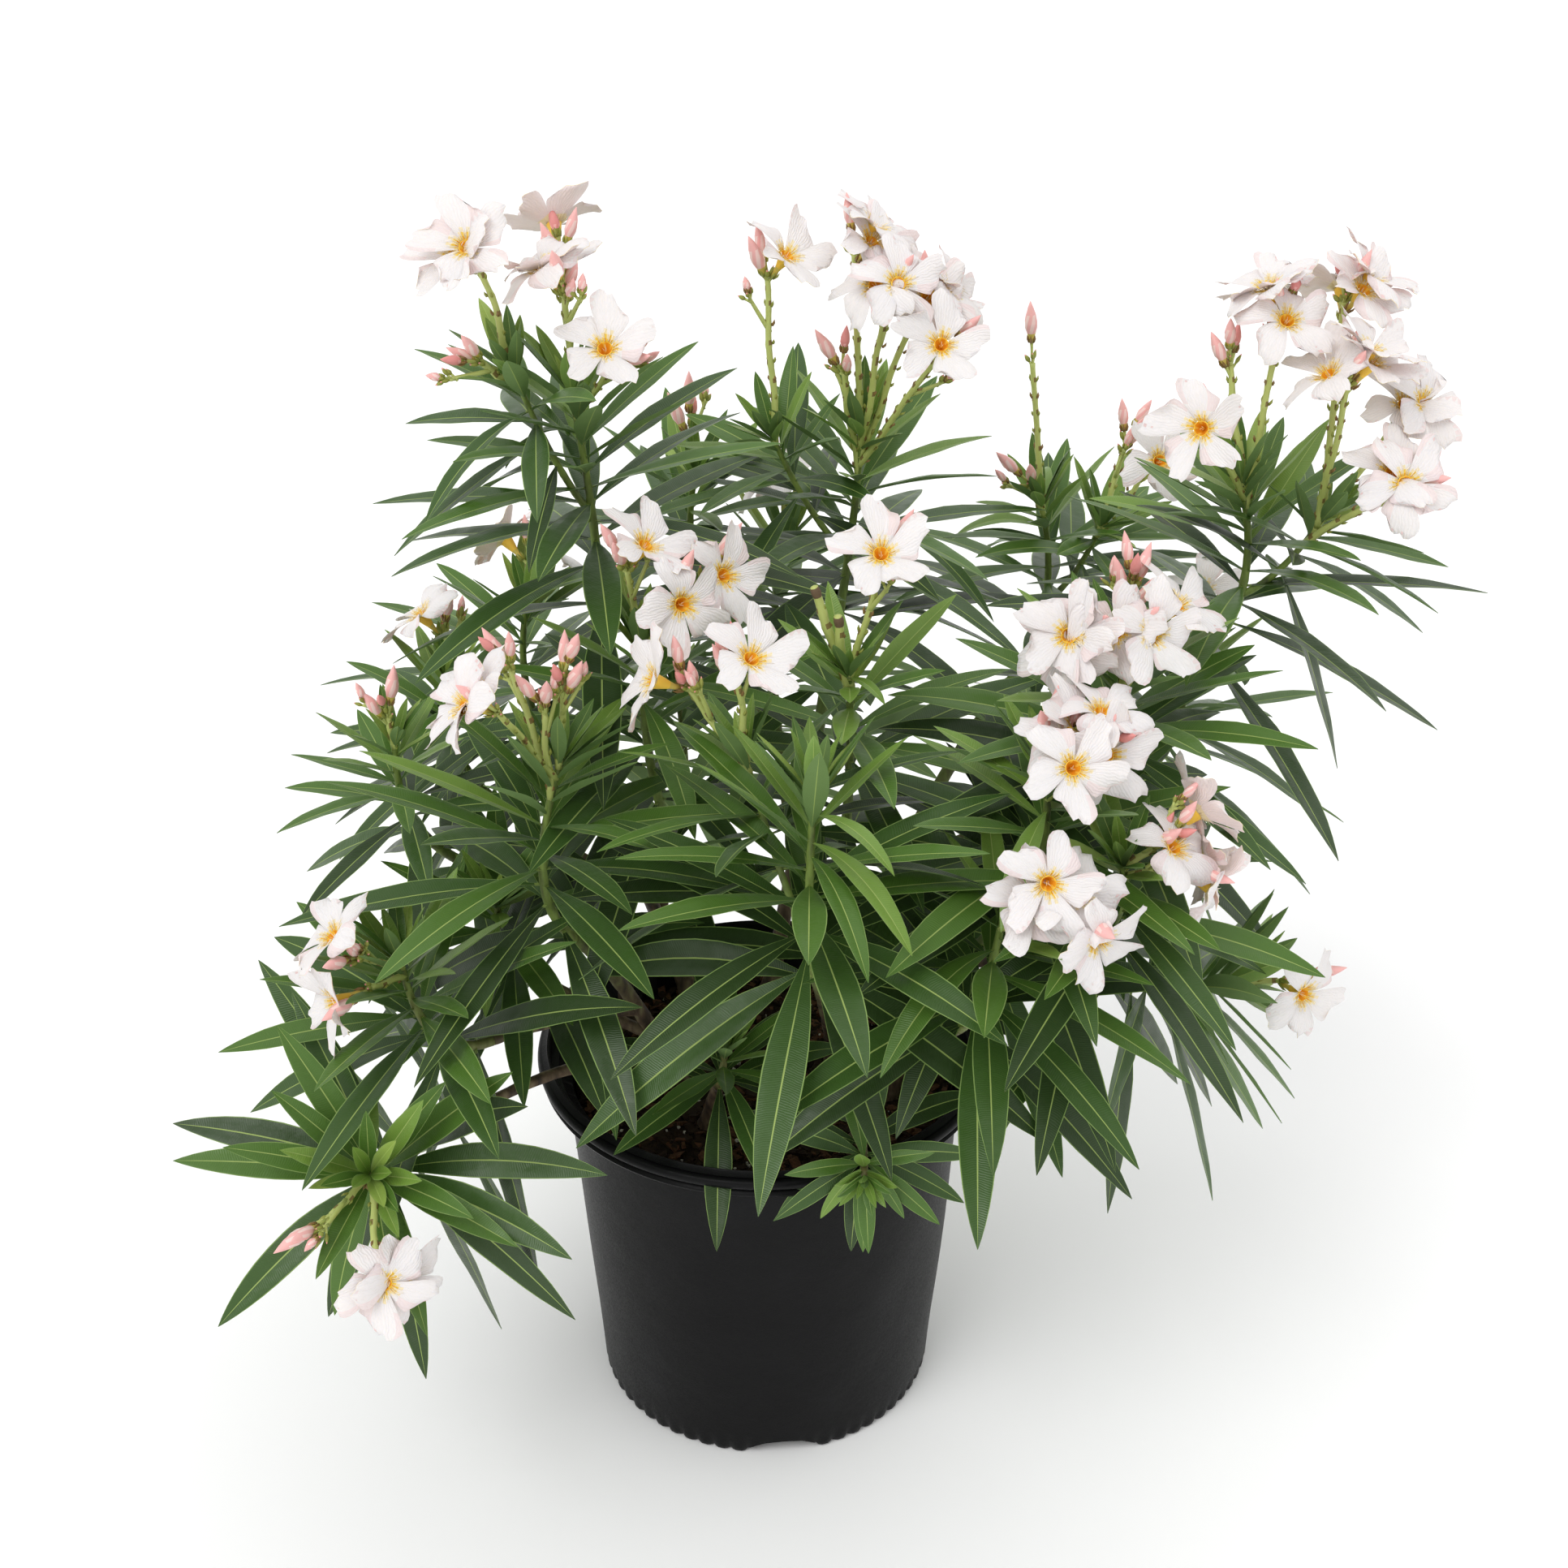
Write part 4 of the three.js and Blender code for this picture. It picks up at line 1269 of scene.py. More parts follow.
@dataclass
class FlowerMaker:
    """Makes single oleander flowers: a funnel, five slanting petals and a fringed crown."""

    petals: int = 5
    stalk: float = 0.005
    tube: float = 0.017
    throat: float = 0.0038
    reach: float = 0.0236
    half_width: float = 0.0108
    neck: float = 0.3
    shoulder: float = 0.76
    swelling: float = 1.12
    narrowing: float = 0.2
    skew: float = 0.17
    slant: float = 0.17
    rounding: float = 0.2
    notches: tuple[Pair, ...] = ((0.04, 6.5), (0.035, 14.0))
    overlap: float = 0.22
    curl: float = 0.75
    curl_power: float = 1.6
    cupping: float = 0.12
    ruffle: float = 0.0012
    ruffles: float = 4.5
    thickness: float = 0.0003
    rows: tuple[float, ...] = (0.0, 0.07, 0.15, 0.25, 0.38, 0.54, 0.7, 0.86, 1.0)
    lanes: tuple[float, ...] = (-1.0, -0.72, -0.4, -0.13, 0.13, 0.4, 0.72, 1.0)
    net_share: float = 0.85
    net_rise: float = 0.004
    teeth: int = 4
    tooth_spacing: float = 13.0
    tooth_length: float = 0.0058
    tooth_lift: float = 0.0036
    tooth_radii: Triple = (0.00042, 0.00028, 0.0001)
    threads: int = 3
    thread_depth: float = 0.006
    thread_radii: Triple = (0.0005, 0.00035, 0.0001)
    petal_finishes: tuple[Finish, ...] = (
        PETAL_WHITE, PETAL_BLUSH, PETAL_PINK, THROAT_CREAM, THROAT_YELLOW, THROAT_ORANGE,
    )
    throat_finishes: tuple[Finish, ...] = (
        THROAT_YELLOW, THROAT_ORANGE, TUBE_FOOT, FILAMENT, THROAT_CREAM,
    )
    sheet: SheetPair = field(init=False)

    def __post_init__(self) -> None:
        """Works out the grid that all the petals share."""
        self.sheet = SheetPair(len(self.rows), len(self.lanes))

    @property
    def rim(self) -> float:
        """Returns how far the throat's rim lies from the foot."""
        return self.stalk + self.tube

    def net(self) -> tuple[Array, Array]:
        """Makes the shallow funnel that stands for the flower where it must fit.

        Returns:
            The funnel's points and faces.
        """
        turns = np.linspace(0.0, 2 * math.pi, self.petals * 2, endpoint=False)
        radius = (self.throat + self.reach) * self.net_share
        height = np.full(len(turns), self.rim + self.net_rise)
        ring = np.stack((radius * np.cos(turns), radius * np.sin(turns), height), axis=-1)
        points = np.concatenate((ring, ((0.0, 0.0, self.stalk),)))
        here = np.arange(len(turns))
        faces = np.stack((here, (here + 1) % len(turns), np.full(len(turns), len(turns))), axis=-1)
        return points, faces

    def petal(self, turn: float, stream: Stream, blush: float, open_by: float) -> Form:
        """Makes one petal: narrow at the throat, broad and cut aslant at its ruffled end.

        Args:
            turn: Where the petal stands round the flower, in degrees.
            stream: The numbers that it is varied by.
            blush: How pink the flower is, from 0 to 1.
            open_by: How high its petals end above the throat, against their reach.

        Returns:
            The closed petal.
        """
        t = np.array(self.rows)[:, None]
        s = np.array(self.lanes)[None, :]
        lift = open_by + stream.about(0, 0.36)
        curl = stream.about(self.curl, 0.4)
        swell = np.sin(np.clip(t / self.shoulder, 0, 1) * math.pi / 2) ** self.swelling
        beyond = np.clip((t - self.shoulder) / (1 - self.shoulder), 0, 1)
        broad = self.half_width * (self.neck + (1 - self.neck) * swell) * (1 - self.narrowing * beyond**2)
        broad = broad * stream.about(1.0, 0.16)
        notch = sum(deep * np.sin(often * s + stream.about(0, 6)) for deep, often in self.notches)
        edge = (self.slant * s - self.rounding * s**2 + notch) * t**3
        outward = self.throat + self.reach * (t * (1 - 0.05 * t) + edge) * stream.about(1.0, 0.12)
        sideways = s * broad + self.skew * self.reach * t**2
        height = self.reach * (curl * t - (curl - lift) * t**self.curl_power)
        height = height + s * broad * stream.about(self.overlap, 0.4) * np.sqrt(t)
        height = height + stream.about(self.cupping, 0.5) * broad * s**2 * t
        height = height + self.ruffle * np.sin(self.ruffles * s + stream.about(0, 6)) * t**3
        angle = math.radians(turn)
        x = outward * math.cos(angle) - sideways * math.sin(angle)
        y = outward * math.sin(angle) + sideways * math.cos(angle)
        upper = np.stack(np.broadcast_arrays(x, y, self.rim + height), axis=-1)
        lower = upper[:, 1:-1].copy()
        lower[..., 2] -= self.thickness
        places = np.stack(np.broadcast_arrays(t * self.reach, s * self.half_width), axis=-1)
        return self.sheet.form(upper, lower, self._petal_numbers(stream, blush), places)

    def _petal_numbers(self, stream: Stream, blush: float) -> tuple[Array, Array]:
        """Picks the finishes of a petal's faces: streaks at its throat, and blush at its edges.

        Args:
            stream: The numbers that it is varied by.
            blush: How pink the flower is, from 0 to 1.

        Returns:
            The finish numbers of its upper and of its lower faces.
        """
        rows, strips = len(self.rows) - 1, len(self.lanes) - 1
        middle = strips // 2
        upper = np.zeros((rows, strips), dtype=int)
        lower = np.ones((rows, strips), dtype=int)
        upper[0] = (3, 4, 5, 4, 5, 4, 3)
        upper[1] = (0, 3, 4, 3, 4, 3, 0)
        upper[2, middle - 1 : middle + 2] = (3, 0, 3)
        if stream.draw() < blush:
            edge = upper[3:, : 1 + int(2 * stream.draw())]
            edge[edge == 0] = 1
        if stream.draw() < blush * 0.6:
            upper[4:, strips - 1] = 1
        if stream.draw() < blush:
            lower[3:, middle - 1 : middle + 3] = 2
        lower[:2] = 3
        return upper.ravel(), lower.ravel()

    def funnel(self) -> Form:
        """Makes the funnel under the petals, with the streaks inside its mouth.

        Returns:
            The closed funnel.
        """
        low, rim, mouth = self.stalk, self.rim, self.throat
        outside = ((0.0013, 0.0), (0.0015, 0.005), (0.0021, 0.008), (0.0031, 0.0115), (0.0038, 0.0145))
        inside = ((0.85, 0.0014), (0.65, 0.004), (0.3, 0.0062), (0.0, 0.0066))
        profile = [(0.0, low - 0.001), *((radius, low + above) for radius, above in outside)]
        profile += [(mouth + 0.0005, rim), (mouth, rim + 0.0003)]
        profile += [(mouth * share, rim - below) for share, below in inside]
        sides = 3 * self.petals
        made = lathe(np.array(profile), sides, np.array((2, 2, 2, 0, 0, 0, 0, 1, 1, 1, 1)))
        made.steps(sides)[6:8, ::3] = 0
        return made

    def crown(self, turn: float, stream: Stream) -> Iterator[Form]:
        """Makes the fringed crown round the throat and the tuft in the middle of it.

        Args:
            turn: Where the first petal stands round the flower, in degrees.
            stream: The numbers that it is varied by.

        Yields:
            A form for each tooth and each thread of the tuft.
        """
        for petal in range(self.petals):
            for tooth in range(self.teeth):
                place = (tooth - (self.teeth - 1) / 2) * self.tooth_spacing + 360 * petal / self.petals
                angle = math.radians(turn + place + stream.about(0, 8))
                bent = angle + stream.about(0, 0.9)
                far = stream.about(self.tooth_length, 0.004)
                foot = ray(angle) * self.throat * 1.15 + UP * self.rim
                lift = stream.about(self.tooth_lift, 0.002)
                middle = foot + ray(angle) * far * 0.5 + UP * lift * 0.8
                path = np.array((foot, middle, foot + ray(bent) * far + UP * lift))
                yield tube(path, np.array(self.tooth_radii), 3, np.array((4, 3)))
        for thread in range(self.threads):
            angle = 2 * math.pi * thread / self.threads
            foot = 0.0006 * ray(angle) + UP * (self.rim - self.thread_depth)
            tip = 0.0012 * ray(angle + 2) + UP * (self.rim + stream.about(0.0012, 0.003))
            path = np.array((foot, (foot + tip) / 2, tip))
            yield tube(path, np.array(self.thread_radii), 4, np.array((0, 4)))


@dataclass
class BudMaker:
    """Makes furled buds: pointed spindles whose petals wind round each other."""

    sides: int = 10
    ribs: int = 5
    rib_height: float = 0.08
    furl: float = 1.9
    ripe: float = 0.35
    stations: tuple[Pair, ...] = (
        (0.0, 0.3), (0.1, 0.46), (0.22, 0.72), (0.36, 0.97),
        (0.5, 0.98), (0.68, 0.76), (0.85, 0.42), (1.0, 0.05),
    )
    finishes: tuple[Finish, ...] = (BUD_PINK, BUD_PALE, BUD_DEEP, BUD_FOOT, SEPAL_GREEN)
    ripe_steps: tuple[int, ...] = (3, 3, 1, 1, 1, 0, 0)
    small_steps: tuple[int, ...] = (4, 4, 0, 2, 2, 2, 2)
    tiny_steps: tuple[int, ...] = (4, 4, 4, 4, 4, 4, 2)

    def form(self, low: float, length: float, radius: float, ripeness: float) -> Form:
        """Makes one bud.

        Args:
            low: How far above the foot it begins.
            length: How long it is.
            radius: Its widest radius.
            ripeness: How ripe it is, from 0 for a tiny green one to 1.

        Returns:
            The closed bud.
        """
        shares, sizes = np.array(self.stations).T
        path = (low + shares * length)[:, None] * UP
        is_ripe = ripeness > self.ripe
        unripe = self.small_steps if ripeness else self.tiny_steps
        steps = np.array(self.ripe_steps if is_ripe else unripe)

        def ridges(step: Array, angle: Array) -> Array:
            """Returns the ridges where the petals overlap, at a step and some angles."""
            return self.rib_height * np.sin(self.ribs * angle) * min(1.0, shares[step[0]] * 3)

        made = tube(path, sizes * radius, self.sides, steps, ridges)
        if ripeness:
            made.steps(self.sides)[2:, ::2] = 0 if is_ripe else 2
        x, y, z = made.points[:, :1], made.points[:, 1:2], made.points[:, 2:]
        twist = self.furl * (z - low) / length
        cos, sin = np.cos(twist), np.sin(twist)
        made.points = np.concatenate((x * cos - y * sin, x * sin + y * cos, z), axis=1)
        return made


@dataclass
class SepalMaker:
    """Makes the small pointed scales of a calyx or of a stalk's nodes."""

    radii: Triple = (0.0009, 0.0008, 0.0001)
    finishes: tuple[Finish, ...] = (SEPAL, SEPAL_GREEN)

    def ring(
        self, low: float, radius: float, length: float, count: int, number: int, spread: float
    ) -> Iterator[Form]:
        """Makes a ring of scales.

        Args:
            low: How far above its foot they begin.
            radius: How far from its middle.
            length: How long each is.
            count: How many there are.
            number: Their finish number.
            spread: How far they lean outward, against their length.

        Yields:
            A form for each scale.
        """
        for i in range(count):
            out = ray(2 * math.pi * (i + 0.3) / count)
            path = np.array([out * radius * 0.8 + UP * low] * 3)
            path[1] += out * length * spread * 0.8 + UP * length * 0.5
            path[2] += out * length * spread + UP * length
            yield tube(path, np.array(self.radii), 4, number)


# ---- the plant


def swelling(phase: Array, sharpness: float) -> Array:
    """Returns how much a ring or node swells, from its phase: 1 in the middle and 0 at the ends."""
    return np.exp(-(((phase - 0.5) * sharpness) ** 2))


@dataclass
class Woodwork:
    """The stems and boughs, with the relief of their bark."""

    soil_top: float
    buried: float = 0.006
    stem_foot: float = 0.0052
    stem_tip: float = 0.0036
    flare: float = 0.55
    flare_height: float = 0.009
    bough_foot: float = 0.0036
    bough_tip: float = 0.003
    ring_spacing: float = 0.019
    ring_swell: float = 0.1
    ridge: float = 0.05
    step: float = 0.0026
    fewest: int = 12
    sides: int = 16
    net_points: int = 9
    limbs: dict[str, Sweep] = field(default_factory=dict)
    radii: dict[str, Pair] = field(default_factory=dict)

    def lay_out(self, room: Room) -> None:
        """Runs every stem and bough along its sweep, and notes them as taken space.

        Args:
            room: The space that is taken so far.
        """
        for plan in STEMS:
            foot = np.array((plan.foot[0] * MM, plan.foot[1] * MM, self.soil_top - self.buried))
            self.limbs[plan.name] = Sweep.raised(foot, np.array(plan.tip) * MM, plan.lift * MM)
            self.radii[plan.name] = (self.stem_foot, self.stem_tip)
        for bough in BOUGHS:
            start = self.limbs[bough.stem].point(bough.at)
            self.limbs[bough.name] = Sweep.raised(start, np.array(bough.tip) * MM, bough.lift * MM)
            self.radii[bough.name] = (self.bough_foot, self.bough_tip)
        for name, sweep in self.limbs.items():
            path = sweep.points(np.linspace(0, 1, self.net_points))
            room.take(*rod_net(path, self.radii[name][1]))

    def limb(self, name: str) -> Form:
        """Makes one limb with the rings of old leaf scars and fine ridges between them.

        Args:
            name: The stem's or bough's name.

        Returns:
            The limb.
        """
        sweep = self.limbs[name]
        shares = np.linspace(0, 1, max(self.fewest, int(sweep.length / self.step)))
        run = shares * sweep.length
        radii = mix(*self.radii[name], shares)
        if name.startswith("stem"):
            above = np.clip(run - self.buried, 0, None)
            radii = radii * (1 + self.flare * np.exp(-above / self.flare_height))
        stream = Stream(sum(map(ord, name)))
        shift, lean = stream.about(0, self.ring_spacing), stream.about(0, 2)

        def bark(step: Array, angle: Array) -> Array:
            """Works out the relief of the bark.

            Args:
                step: Which step of the limb it is, once for each angle.
                angle: The angles round the limb.

            Returns:
                The share of the radius by which the bark stands out at each angle.
            """
            along = run[step[0]] + shift
            ring = swelling((along % self.ring_spacing) / self.ring_spacing, 9)
            scar = ring * (0.6 + 0.4 * np.cos(3 * angle + along // self.ring_spacing * 1.05))
            ridges = np.sin(7 * angle + along * 90 + lean) * np.sin(4 * angle - along * 210)
            return self.ring_swell * scar + self.ridge * ridges

        return tube(sweep.points(shares), radii, self.sides, 0, bark)

    def build(self) -> None:
        """Makes the stems and the boughs, each kind as one piece."""
        for kind, plans in (("stem", STEMS), ("bough", BOUGHS)):
            piece = Piece(f"{kind}s", kind, (BARK,))
            for plan in plans:
                piece.add(self.limb(plan.name))
            piece.build(*(plan.name for plan in plans))


@dataclass(frozen=True)
class LeafyAxis:
    """A leafy twig: its sweep and radii, where its leaves begin, and what they are like."""

    sweep: Sweep
    radii: Pair
    bare: float
    whorls: int
    longest: float


@dataclass(frozen=True)
class Shoot:
    """A shoot with its axes, the numbers that settle how its leaves and flowers stand, and the
    numbers that vary what they are like."""

    plan: ShootPlan
    axes: list[LeafyAxis]
    stand: Stream
    vary: Stream


@dataclass
class Blossom:
    """The trusses: forking stalks with their flowers and buds."""

    room: Room
    flowers: FlowerMaker = field(default_factory=FlowerMaker)
    buds: BudMaker = field(default_factory=BudMaker)
    sepals: SepalMaker = field(default_factory=SepalMaker)
    stalk_foot: float = 0.0021
    stalk_tip: float = 0.0016
    stalk_spacing: float = 0.006
    stalk_step: float = 0.0028
    stalk_sides: int = 8
    sway: float = 0.0016
    bare_swell: float = 1.45
    dry_from: float = 0.86
    node_spacing: float = 0.011
    node_swell: float = 0.2
    topmost: float = 0.4
    flower_reach: float = 0.028
    flower_spacing: float = 0.006
    flower_drop: float = 0.0015
    flower_tilt: float = 42.0
    bud_tilt: float = 24.0
    bud_rise: float = 0.006
    bud_lengths: Pair = (0.012, 0.027)
    bud_radii: Pair = (0.0023, 0.0041)
    bud_net: Triple = (0.008, 0.026, 0.003)
    fork_tilt: float = 32.0
    fork_bend: float = 0.004
    spiral: float = 137.5
    towards_light: float = 0.25
    turns_aside: tuple[float, ...] = (0, 30, -30, 60, -60, 90, -90, 120, -120, 180)

    def __post_init__(self) -> None:
        """Starts a piece for each kind of thing."""
        self.petals = Piece("petals", "petal", self.flowers.petal_finishes, 70)
        self.throats = Piece("flower_throats", "petal", self.flowers.throat_finishes, 60)
        self.furled = Piece("buds", "bud", self.buds.finishes)
        self.scales = Piece("bud_scales", "bud", self.sepals.finishes)
        self.stalks = Piece("flower_stalks", "foliage", (STALK, STALK_NODE, STALK_DRY))

    def grow(self, axis: Sweep, trusses: Sequence[Truss], shoot: Shoot) -> None:
        """Grows the trusses on a twig's apex.

        Args:
            axis: The twig.
            trusses: What its trusses are like.
            shoot: The shoot that it belongs to.
        """
        vary = shoot.vary
        apex = axis.point(1.0)
        for place, truss in enumerate(trusses):
            way = way_of(truss.bearing, truss.lean)
            below = (self.topmost + place) * self.stalk_spacing
            start = axis.point(1 - below / axis.length)
            end = apex + way * (truss.length * MM - self.flower_reach)
            self._stalk(start, end, truss, vary)
            turn = 360 * shoot.stand.draw()
            count = truss.blooms + truss.buds
            for i in range(count):
                is_bloom = i < truss.blooms
                tilt = (self.flower_tilt if is_bloom else self.bud_tilt) if count > 1 else 0.0
                below = self.flower_drop + i * self.flower_spacing
                above = 0.0 if is_bloom else truss.blooms * self.flower_spacing + self.bud_rise
                around = [turn + self.spiral * i + aside for aside in self.turns_aside]
                ways = [opened_from(way, tilt, angle) for angle in around]
                self._flower(end + way * (above - below), ways, is_bloom, vary)
            if count:
                self._tiny_buds(end, way, vary)
            if truss.buds > 1:
                self._fork(start, end, way, vary)

    def _tiny_buds(self, foot: Array, way: Array, vary: Stream) -> None:
        """Adds the smallest green buds, which crowd the end of a stalk.

        Args:
            foot: The stalk's end.
            way: Where the stalk points.
            vary: The numbers that they are varied by.
        """
        for i in range(3 + int(3 * vary.draw())):
            facing = Facing(foot - way * 0.001 * i, opened_from(way, vary.about(30, 36), self.spiral * i))
            length = vary.about(0.0065, 0.004)
            bud = self.buds.form(0.003, length, vary.about(0.0013, 0.0005), 0.0)
            self.furled.add(facing.seat(bud))
            path = facing.foot + np.array((-0.001, 0.0015, 0.0036))[:, None] * facing.way
            self.stalks.add(tube(path, np.array((0.0011, 0.0008, 0.0008)), 5))

    def _fork(self, start: Array, end: Array, way: Array, vary: Stream) -> None:
        """Adds a short side stalk with a few small buds.

        Args:
            start: Where the stalk that it leaves starts.
            end: Where that stalk ends.
            way: Where that stalk points.
            vary: The numbers that it is varied by.
        """
        foot = start + (end - start) * vary.about(0.7, 0.2)
        side = opened_from(way, self.fork_tilt, 360 * vary.draw())
        tip = foot + side * vary.about(0.02, 0.008) + way * 0.003
        shares = np.linspace(0, 1, 6)[:, None]
        path = foot + shares * (tip - foot) + shares * (1 - shares) * side * self.fork_bend
        self.stalks.add(tube(path, np.linspace(0.0015, 0.0011, 6), 6))
        self._tiny_buds(tip, unit(side + way), vary)
        facing = Facing(tip, unit(side + 2 * way))
        self.furled.add(facing.seat(self.buds.form(0.004, vary.about(0.012, 0.005), 0.0024, 0.5)))
        self._calyx(facing, 0.004, 0.0013, 0.004)

    def _stalk(self, start: Array, end: Array, truss: Truss, vary: Stream) -> None:
        """Makes one truss's stalk with its nodes and their scales.

        Args:
            start: Where it starts.
            end: Where it ends.
            truss: What it carries: a stalk without flowers is spent, thicker and dry at its end.
            vary: The numbers that it is varied by.
        """
        length = float(np.linalg.norm(end - start))
        shares = np.linspace(0, 1, max(8, int(length / self.stalk_step)))
        along = unit(end - start)
        first, second = crosswise(along)
        sway = (np.sin(shares * math.pi * 2.3) * np.sin(shares * math.pi) * self.sway)[:, None]
        aside = first * vary.about(0, 2) + second * vary.about(0, 2)
        path = start + shares[:, None] * (end - start) + sway * aside
        phase = (shares * length / self.node_spacing) % 1
        is_bare = truss.blooms + truss.buds == 0
        swell = 1 + self.node_swell * swelling(phase, 8)
        radii = mix(self.stalk_foot, self.stalk_tip, shares) * swell * (self.bare_swell if is_bare else 1)
        made = tube(path, radii, self.stalk_sides)
        numbers = made.steps(self.stalk_sides)
        for row in np.nonzero(np.abs(phase[:-1] - 0.5) < 0.14)[0]:
            node = int(shares[row] * length / self.node_spacing)
            numbers[row, np.arange(3) + 4 * (node % 2)] = 1
        if is_bare:
            numbers[shares[:-1] > self.dry_from] = 2
        self.stalks.add(made)
        self.room.take(*rod_net(path[::4], self.stalk_tip))
        for k in range(int(length / self.node_spacing)):
            share = min(0.97, (k + 0.55) * self.node_spacing / length)
            facing = Facing(start + (end - start) * share, turned(along, first, vary.about(0, 20)))
            scale_length = vary.about(0.0034, 0.0016)
            for scale in self.sepals.ring(0.0, 0.0021, scale_length, 2, int(k % 3 != 0), 0.35):
                self.scales.add(facing.seat(scale))

    def _flower(self, foot: Array, ways: Sequence[Array], is_bloom: bool, vary: Stream) -> None:
        """Adds a flower or bud, turned aside as far as it needs to keep clear of the others.

        Args:
            foot: Where its stalk begins.
            ways: The ways in which it may face, best first.
            is_bloom: Whether it is an open flower.
            vary: The numbers that it is varied by.
        """
        near, far, radius = self.bud_net
        for way in ways:
            way = unit(way * (1 - self.towards_light) + LIGHT * self.towards_light)
            facing = Facing(foot, way)
            if is_bloom:
                points, faces = self.flowers.net()
                net = facing.place(points), faces
            else:
                net = rod_net(foot + np.linspace(near, far, 3)[:, None] * way, radius)
            if self.room.is_clear(*net):
                break
        self.room.take(*net)
        (self._bloom if is_bloom else self._bud)(facing, vary)

    def _bloom(self, facing: Facing, vary: Stream) -> None:
        """Makes an open flower on its stalk.

        Args:
            facing: The flower's axes.
            vary: The numbers that it is varied by.
        """
        turn, blush, open_by = 360 * vary.draw(), vary.draw(), vary.about(0.14, 0.5)
        flowers = self.flowers
        for i in range(flowers.petals):
            at = turn + 360 / flowers.petals * i + vary.about(0, 9)
            self.petals.add(facing.seat(flowers.petal(at, vary, blush, open_by)))
        for part in (flowers.funnel(), *flowers.crown(turn, vary)):
            self.throats.add(facing.seat(part))
        self._calyx(facing, flowers.stalk, 0.0015, 0.0055)

    def _bud(self, facing: Facing, vary: Stream) -> None:
        """Makes a bud on its stalk, ripe or small and green.

        Args:
            facing: The bud's axes.
            vary: The numbers that it is varied by.
        """
        ripeness = vary.draw() ** 0.7
        length, radius = mix(*self.bud_lengths, ripeness), mix(*self.bud_radii, ripeness)
        low = 0.006 + 0.005 * vary.draw()
        self.furled.add(facing.seat(self.buds.form(low, length, radius, ripeness)))
        self._calyx(facing, low, 0.0016, 0.005)

    def _calyx(self, facing: Facing, low: float, radius: float, length: float) -> None:
        """Makes the stalk under a flower or bud, and the ring of scales that holds it.

        Args:
            facing: The flower's or bud's axes.
            low: How far above its foot the scales begin.
            radius: How far they stand from its middle.
            length: How long they are.
        """
        path = facing.foot + np.linspace(-0.001, low + 0.0008, 4)[:, None] * facing.way
        self.stalks.add(tube(path, np.array((0.0011, 0.0009, 0.001, radius)), 6))
        number = 0 if facing.foot[0] * 1e4 % 3 > 1 else 1
        for scale in self.sepals.ring(low - 0.0005, radius, length, 5, number, 0.25):
            self.scales.add(facing.seat(scale))

    def build(self) -> None:
        """Makes the gathered pieces."""
        for piece in (self.petals, self.throats, self.furled, self.scales, self.stalks):
            piece.build()


MIDDLE_FROM = -80
RIGHT_FROM = 140


class Region(Enum):
    """The parts of the crown, left to right, whose leaves are joined into one piece each."""

    LEFT = "left"
    MIDDLE = "middle"
    RIGHT = "right"

    @classmethod
    def of(cls, plan: ShootPlan) -> Region:
        """Returns the region that a shoot's apex lies in."""
        beyond = cls.MIDDLE if plan.apex[0] < RIGHT_FROM else cls.RIGHT
        return cls.LEFT if plan.apex[0] < MIDDLE_FROM else beyond


